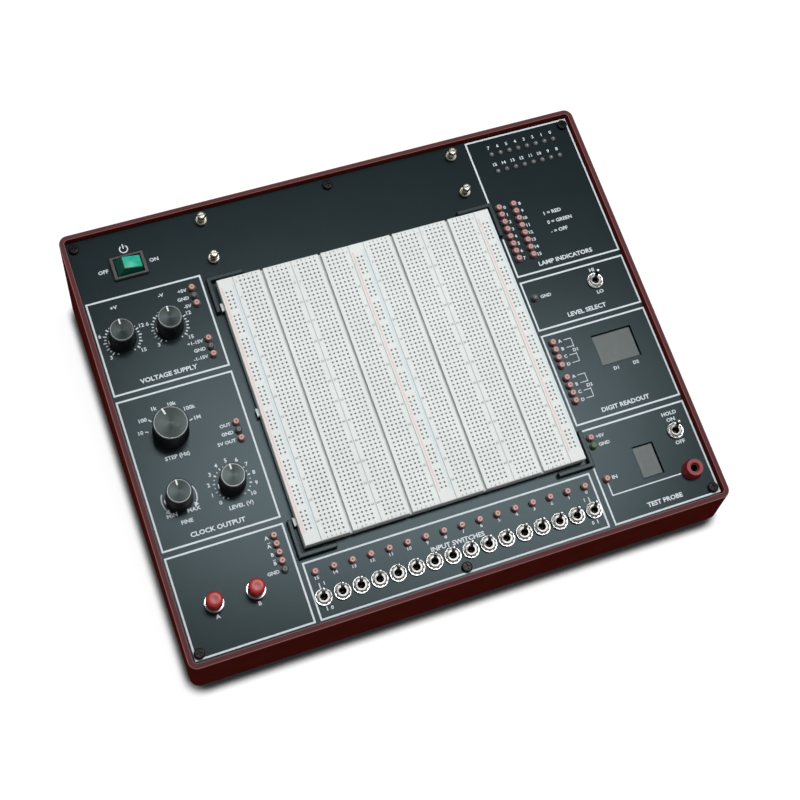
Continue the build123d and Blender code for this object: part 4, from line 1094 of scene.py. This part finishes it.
# ---- Toggle switches
def dress_nut_shape():
    """Ten-sided nut with a raised rim, a sunk ring of ten oval notches and a bright lip."""
    sides = 10
    steps = 10 * sides
    low, high = box_mm("toggle_nuts")
    height = high.z - low.z
    rows = [
        (3.24, height - 0.30, 0),
        (3.36, height - 0.10, 0),
        (3.55, height - 0.02, 0),
        (3.80, height - 0.10, 0),
        (3.90, height - 0.40, 0),
        (4.06, height - 0.40, 0),
        (4.14, height - 0.06, 0.5),
        (4.46, height - 0.03, 0.5),
        (4.54, height - 0.01, 0),
        (4.72, height, 0),
    ]
    angles = [2 * math.pi * (i + 0.5) / steps for i in range(steps)]
    points = []
    rings = []

    def add_ring(radii, heights):
        rings.append([len(points) + i for i in range(steps)])
        for angle, radius, z in zip(angles, radii, heights):
            points.append((radius * math.cos(angle), radius * math.sin(angle), z))

    def across_flats(angle):
        within = (angle + math.pi / sides) % (2 * math.pi / sides) - math.pi / sides
        return 4.95 * math.cos(math.pi / sides) / math.cos(within)

    for radius, z, notch in rows:
        sunk = [notch * (math.cos(sides * angle) * 0.5 + 0.5) ** 6 for angle in angles]
        add_ring([radius] * steps, [z - drop for drop in sunk])
    for inset, z in ((0.06, height - 0.2), (0.0, height - 0.45), (0.0, 0.0)):
        add_ring([across_flats(angle) - inset for angle in angles], [z] * steps)
    add_ring([rows[0][0]] * steps, [0.0] * steps)
    bore = rings.pop()
    faces = []
    slots = []
    for k, (inner, outer) in enumerate(zip(rings, rings[1:])):
        faces += bridge(outer, inner)
        for i in range(steps):
            across = math.cos(sides * 2 * math.pi * (i + 1) / steps) * 0.5 + 0.5
            # Slot 1 paints shade on the sunk ring and in the notches.
            slots.append(1 if k in (3, 4, 5) or 5 < k < 8 and across > 0.78 else 0)
    faces += bridge(rings[0], bore)
    faces += bridge(bore, rings[-1])
    slots += [0] * (2 * steps)
    return points, faces, slots


def toggle_nuts():
    points, faces, slots = dress_nut_shape()
    shape = Shape()
    for name in JOINTS:
        if name.endswith("_throw"):
            x, y, _ = pivot_mm(name)
            turn = 7.0 * (round(x) % 5)
            shape.add(points, faces, slots, at(x, y, 0, turn))
    shape.make(
        "toggle_nuts_detail", [nickel, nut_painted_shade], ROOT,
        replaces=["toggle_nuts"], slot="nickel", smooth=40,
    )


# ---- Power rocker
def rocker():
    """Dark green paddle with rounded edges, round belly and a lens on its upper face."""
    centre = pivot_mm("power_rock")
    tilt = JOINTS["power_rock"]["range_deg"][0] / -2
    place = at(centre.x, centre.y, centre.z) @ Matrix.Rotation(math.radians(tilt), 4, "Y")
    swing = 7.85
    width = 11.0
    top_length, top_width, top = 11.8, 8.2, 6.7
    sections = []
    for z in (-4.0, -3.0, -1.6, 0.0):
        half = math.sqrt(swing ** 2 - z ** 2)
        sections.append(rounded_outline(2 * half, width, 0.3, z))
    for share, shrink in ((0.04, 0.25), (0.93, 0.0), (0.975, 0.22), (1.0, 0.7)):
        length = 2 * swing + (top_length - 2 * swing) * share - shrink
        depth = width + (top_width - width) * share - shrink
        sections.append(rounded_outline(length, depth, 0.5, top * share))
    paddle = Shape()
    paddle.add(*loft(sections), 0, place)
    paddle.make(
        "power_rocker_paddle", [rocker_green], "power_rocker_body",
        replaces=["power_rocker"], slot="rocker_green", smooth=40,
    )
    lens = Shape()
    lens_sections = []
    for grow, z in ((0.0, top - 0.1), (0.0, top + 0.02), (-0.25, top + 0.12)):
        lens_sections.append(rounded_outline(top_length - 1.0 + grow, top_width - 1.0 + grow, 0.4, z))
    lens.add(*loft(lens_sections), 0, place)
    lens.make("power_rocker_lens", [rocker_lens], "power_rocker_body", slot="rocker_green", smooth=40)


# ---- Push buttons
def button(name):
    low, high = box_mm(name)
    radius = (high.x - low.x) / 2
    top = high.z
    bottom = top - 8.4
    profile = [
        (1.7, low.z),
        (1.7, bottom),
        (radius - 0.3, bottom),
        (radius, bottom + 0.3),
        (radius, bottom + 0.5, 0.22),
        (radius, top - 2.4, 0.22),
        (radius, top - 1.5, 0.0),
        (radius - 0.10, top - 0.95),
        (radius - 0.38, top - 0.5),
        (radius - 0.85, top - 0.2),
        (radius - 1.5, top - 0.06),
        (radius - 2.3, top),
        (radius - 3.2, top - 0.06),
        (0, top - 0.14),
    ]

    shape = Shape()
    centre = middle(name)
    points, faces = lathe([(0, low.z)] + profile, 96, (0.0, 0.6, 1.0, 0.6))
    shape.add(points, faces, place=at(centre.x, centre.y))
    shape.make(
        f"{name}_cap", [button_red], f"{name}_plunger",
        replaces=[name], slot="button_red", smooth=40,
    )


# ---- Lamps and digits
def display_modules():
    """Grey digit blocks with faint unlit segments."""
    low, high = box_mm("display_modules")
    face = high.z
    shape = Shape()
    pair_x, pair_y = high.x - 12.5, high.y - 9.5
    single_x, single_y = low.x + 6.3, low.y + 9.5
    for x, y, length in ((pair_x, pair_y, 25.0), (single_x, single_y, 12.6)):
        sections = []
        for grow, z in ((0, low.z), (0, face - 0.5), (-0.5, face - 0.25)):
            sections.append(rounded_outline(length + grow, 19 + grow, 0.3, z, 2))
        shape.add(*loft(sections), place=at(x, y))
    for x, y in ((pair_x - 6.25, pair_y), (pair_x + 6.25, pair_y), (single_x, single_y)):
        digit(shape, x, y, face - 0.22)
    shape.make(
        "display_modules_detail", [digit_face, digit_segment], ROOT,
        replaces=["display_modules"], slot="digit_face", smooth=20,
    )


def digit(shape, x, y, z):
    """Seven slanted segments and a point."""
    half_w, half_h, thick, gap, slant = 3.4, 6.4, 1.25, 0.18, 0.12
    across = half_w - thick / 2
    along = half_h - thick / 2
    bars = [((-across, y), (across, y)) for y in (along, 0, -along)]
    for x_side in (-across, across):
        bars += [((x_side, 0), (x_side, along)), ((x_side, -along), (x_side, 0))]
    for (xa, ya), (xb, yb) in bars:
        direction = Vector((xb - xa, yb - ya)).normalized()
        side = Vector((-direction.y, direction.x)) * thick / 2
        a = Vector((xa, ya)) + direction * gap
        b = Vector((xb, yb)) - direction * gap
        inset = direction * thick / 2
        outline = [a, a + inset - side, b - inset - side, b, b - inset + side, a + inset + side]
        points = [(x + p.x + slant * p.y, y + p.y, z) for p in outline]
        shape.add(points, [list(range(6))], 1)
    dot(shape, x + half_w + 1.0, y - half_h + 0.6, 0.65, z, 1)


# ---- Posts
def post_threads():
    """Thread on the stems between the collars and the slotted heads."""
    low, high = box_mm("post_collars")
    head_height = 1.9
    start, end = high.z, box_mm("post_screws")[1].z - head_height
    collar_radius = 3.5
    root, crest = 1.46, 1.66
    turns = 7
    profile = []
    for k in range(turns):
        z = start + (end - start) * k / turns
        profile += [(root, z), (crest, z + 0.28)]
    profile.append((root, end))
    shape = Shape()
    for x in (low.x + collar_radius, high.x - collar_radius):
        for y in (low.y + collar_radius, high.y - collar_radius):
            shape.add(*lathe(profile, 20), place=at(x, y))
    shape.make("post_threads", [post_metal], ROOT, slot="brass", smooth=50)


# ---- Stage
FLOOR_REACH = 6.0  # metres, each way
FLOOR_GREY = 0.18
FLOOR_LIFT = 0.92
SHADOW_REACH = 9.0
SHADOW_FULL = 0.66
SHADOW_NONE = 0.90
STUDIO_LIGHT = 0.31


def floor_paint():
    """Pale paint that stays even where it is seen, apart from a painted shadow close to the object, where an
    occlusion mask dims its glow.
    """
    paint = bpy.data.materials.new("floor_paint")
    paint.use_nodes = True
    tree = paint.node_tree
    path = tree.nodes.new("ShaderNodeLightPath").outputs
    seen = path["Is Camera Ray"]
    for ray in ("Is Glossy Ray", "Is Transmission Ray"):
        seen = output(tree, "Math", "Value", {0: seen, 1: path[ray]}, operation="MAXIMUM")
    inputs = {
        "From Min": SHADOW_FULL,
        "From Max": SHADOW_NONE,
        "To Max": FLOOR_LIFT,
        "Value": output(tree, "AmbientOcclusion", "AO", {"Distance": SHADOW_REACH * MM}, samples=16),
    }
    inputs = {0: seen, 1: output(tree, "MapRange", "Result", inputs)}
    inputs = {
        "Base Color": (FLOOR_GREY, FLOOR_GREY, FLOOR_GREY, 1),
        "Roughness": 0.9,
        "Specular IOR Level": 0.0,
        "Emission Color": (1, 1, 1, 1),
        "Emission Strength": output(tree, "Math", "Value", inputs, operation="MULTIPLY"),
    }
    wire(tree, tree.nodes["Principled BSDF"], inputs)
    return paint


def stage():
    scene = bpy.context.scene
    scene.view_settings.view_transform = "Standard"
    mesh = bpy.data.meshes.new("floor")
    corners = [(x * FLOOR_REACH, y * FLOOR_REACH, 0) for x, y in SQUARE]
    mesh.from_pydata(corners, [], [[0, 1, 2, 3]])
    mesh.materials.append(floor_paint())
    new_object("floor", mesh)

    world = bpy.data.worlds.new("studio")
    scene.world = world
    world.use_nodes = True
    tree = world.node_tree
    inputs = {
        "To Min": STUDIO_LIGHT,
        "To Max": 1.0,
        "Value": output(tree, "LightPath", "Is Camera Ray", {}),
    }
    inputs = {"Color": (1, 1, 1, 1), "Strength": output(tree, "MapRange", "Result", inputs)}
    wire(tree, tree.nodes["Background"], inputs)


AIM = Vector((0, 0, 0.07))


def lamp(name, place, power, length, depth, along):
    """A soft box aimed at the panel, in metres and watts, with its length turned along a direction."""
    data = bpy.data.lights.new(name, "AREA")
    data.energy = power
    data.shape = "RECTANGLE"
    data.size = length
    data.size_y = depth
    light = new_object(name, data)
    back = (Vector(place) - AIM).normalized()
    side = (Vector(along) - back * back.dot(Vector(along))).normalized()
    turned = Matrix((side, back.cross(side), back)).transposed().to_4x4()
    turned.translation = Vector(place)
    light.matrix_world = turned


# The camera of the photograph, in the panel's frame, in degrees and millimetres.
CAMERA_AZIMUTH = -41.09
CAMERA_ELEVATION = 69.64
CAMERA_ROLL = 22.91
CAMERA_PLACE = (-203.5, -248.5, 821.4)
CAMERA_LENS = 67.97


def camera():
    data = bpy.data.cameras.new("camera")
    data.lens = CAMERA_LENS
    data.sensor_width = 36.0
    data.clip_start = 0.05
    data.clip_end = 50
    view = new_object("camera", data)
    a, e = math.radians(CAMERA_AZIMUTH), math.radians(CAMERA_ELEVATION)
    back = Vector((math.sin(a) * math.cos(e), -math.cos(a) * math.cos(e), math.sin(e)))
    right = Vector((math.cos(a), math.sin(a), 0))
    up = back.cross(right)
    turned = Matrix((right, up, back)).transposed() @ Matrix.Rotation(math.radians(CAMERA_ROLL), 3, "Z")
    placed = ON_PANEL @ Matrix.Translation(CAMERA_PLACE) @ turned.to_4x4()
    placed.translation *= MM
    view.matrix_world = placed
    bpy.context.scene.camera = view


# ---- Build
dress_nodes()
panel_print()
breadboard()
for prefix in ("positive_volts", "negative_volts", "clock_rate", "clock_level"):
    knob(prefix, 44, 0)
knob("clock_range", 60, 15)
terminal_mouths()
toggle_nuts()
rocker()
button("pulse_button_a")
button("pulse_button_b")
display_modules()
post_threads()
stage()
lamp("key", place=(0.31, 0.06, 1.55), power=17.5, length=0.8, depth=0.38, along=(0.96, -0.28, 0.0))
lamp("fill", place=(-0.9, 0.9, 1.3), power=3, length=1.4, depth=1.4, along=(1.0, 0.0, 0.0))
camera()
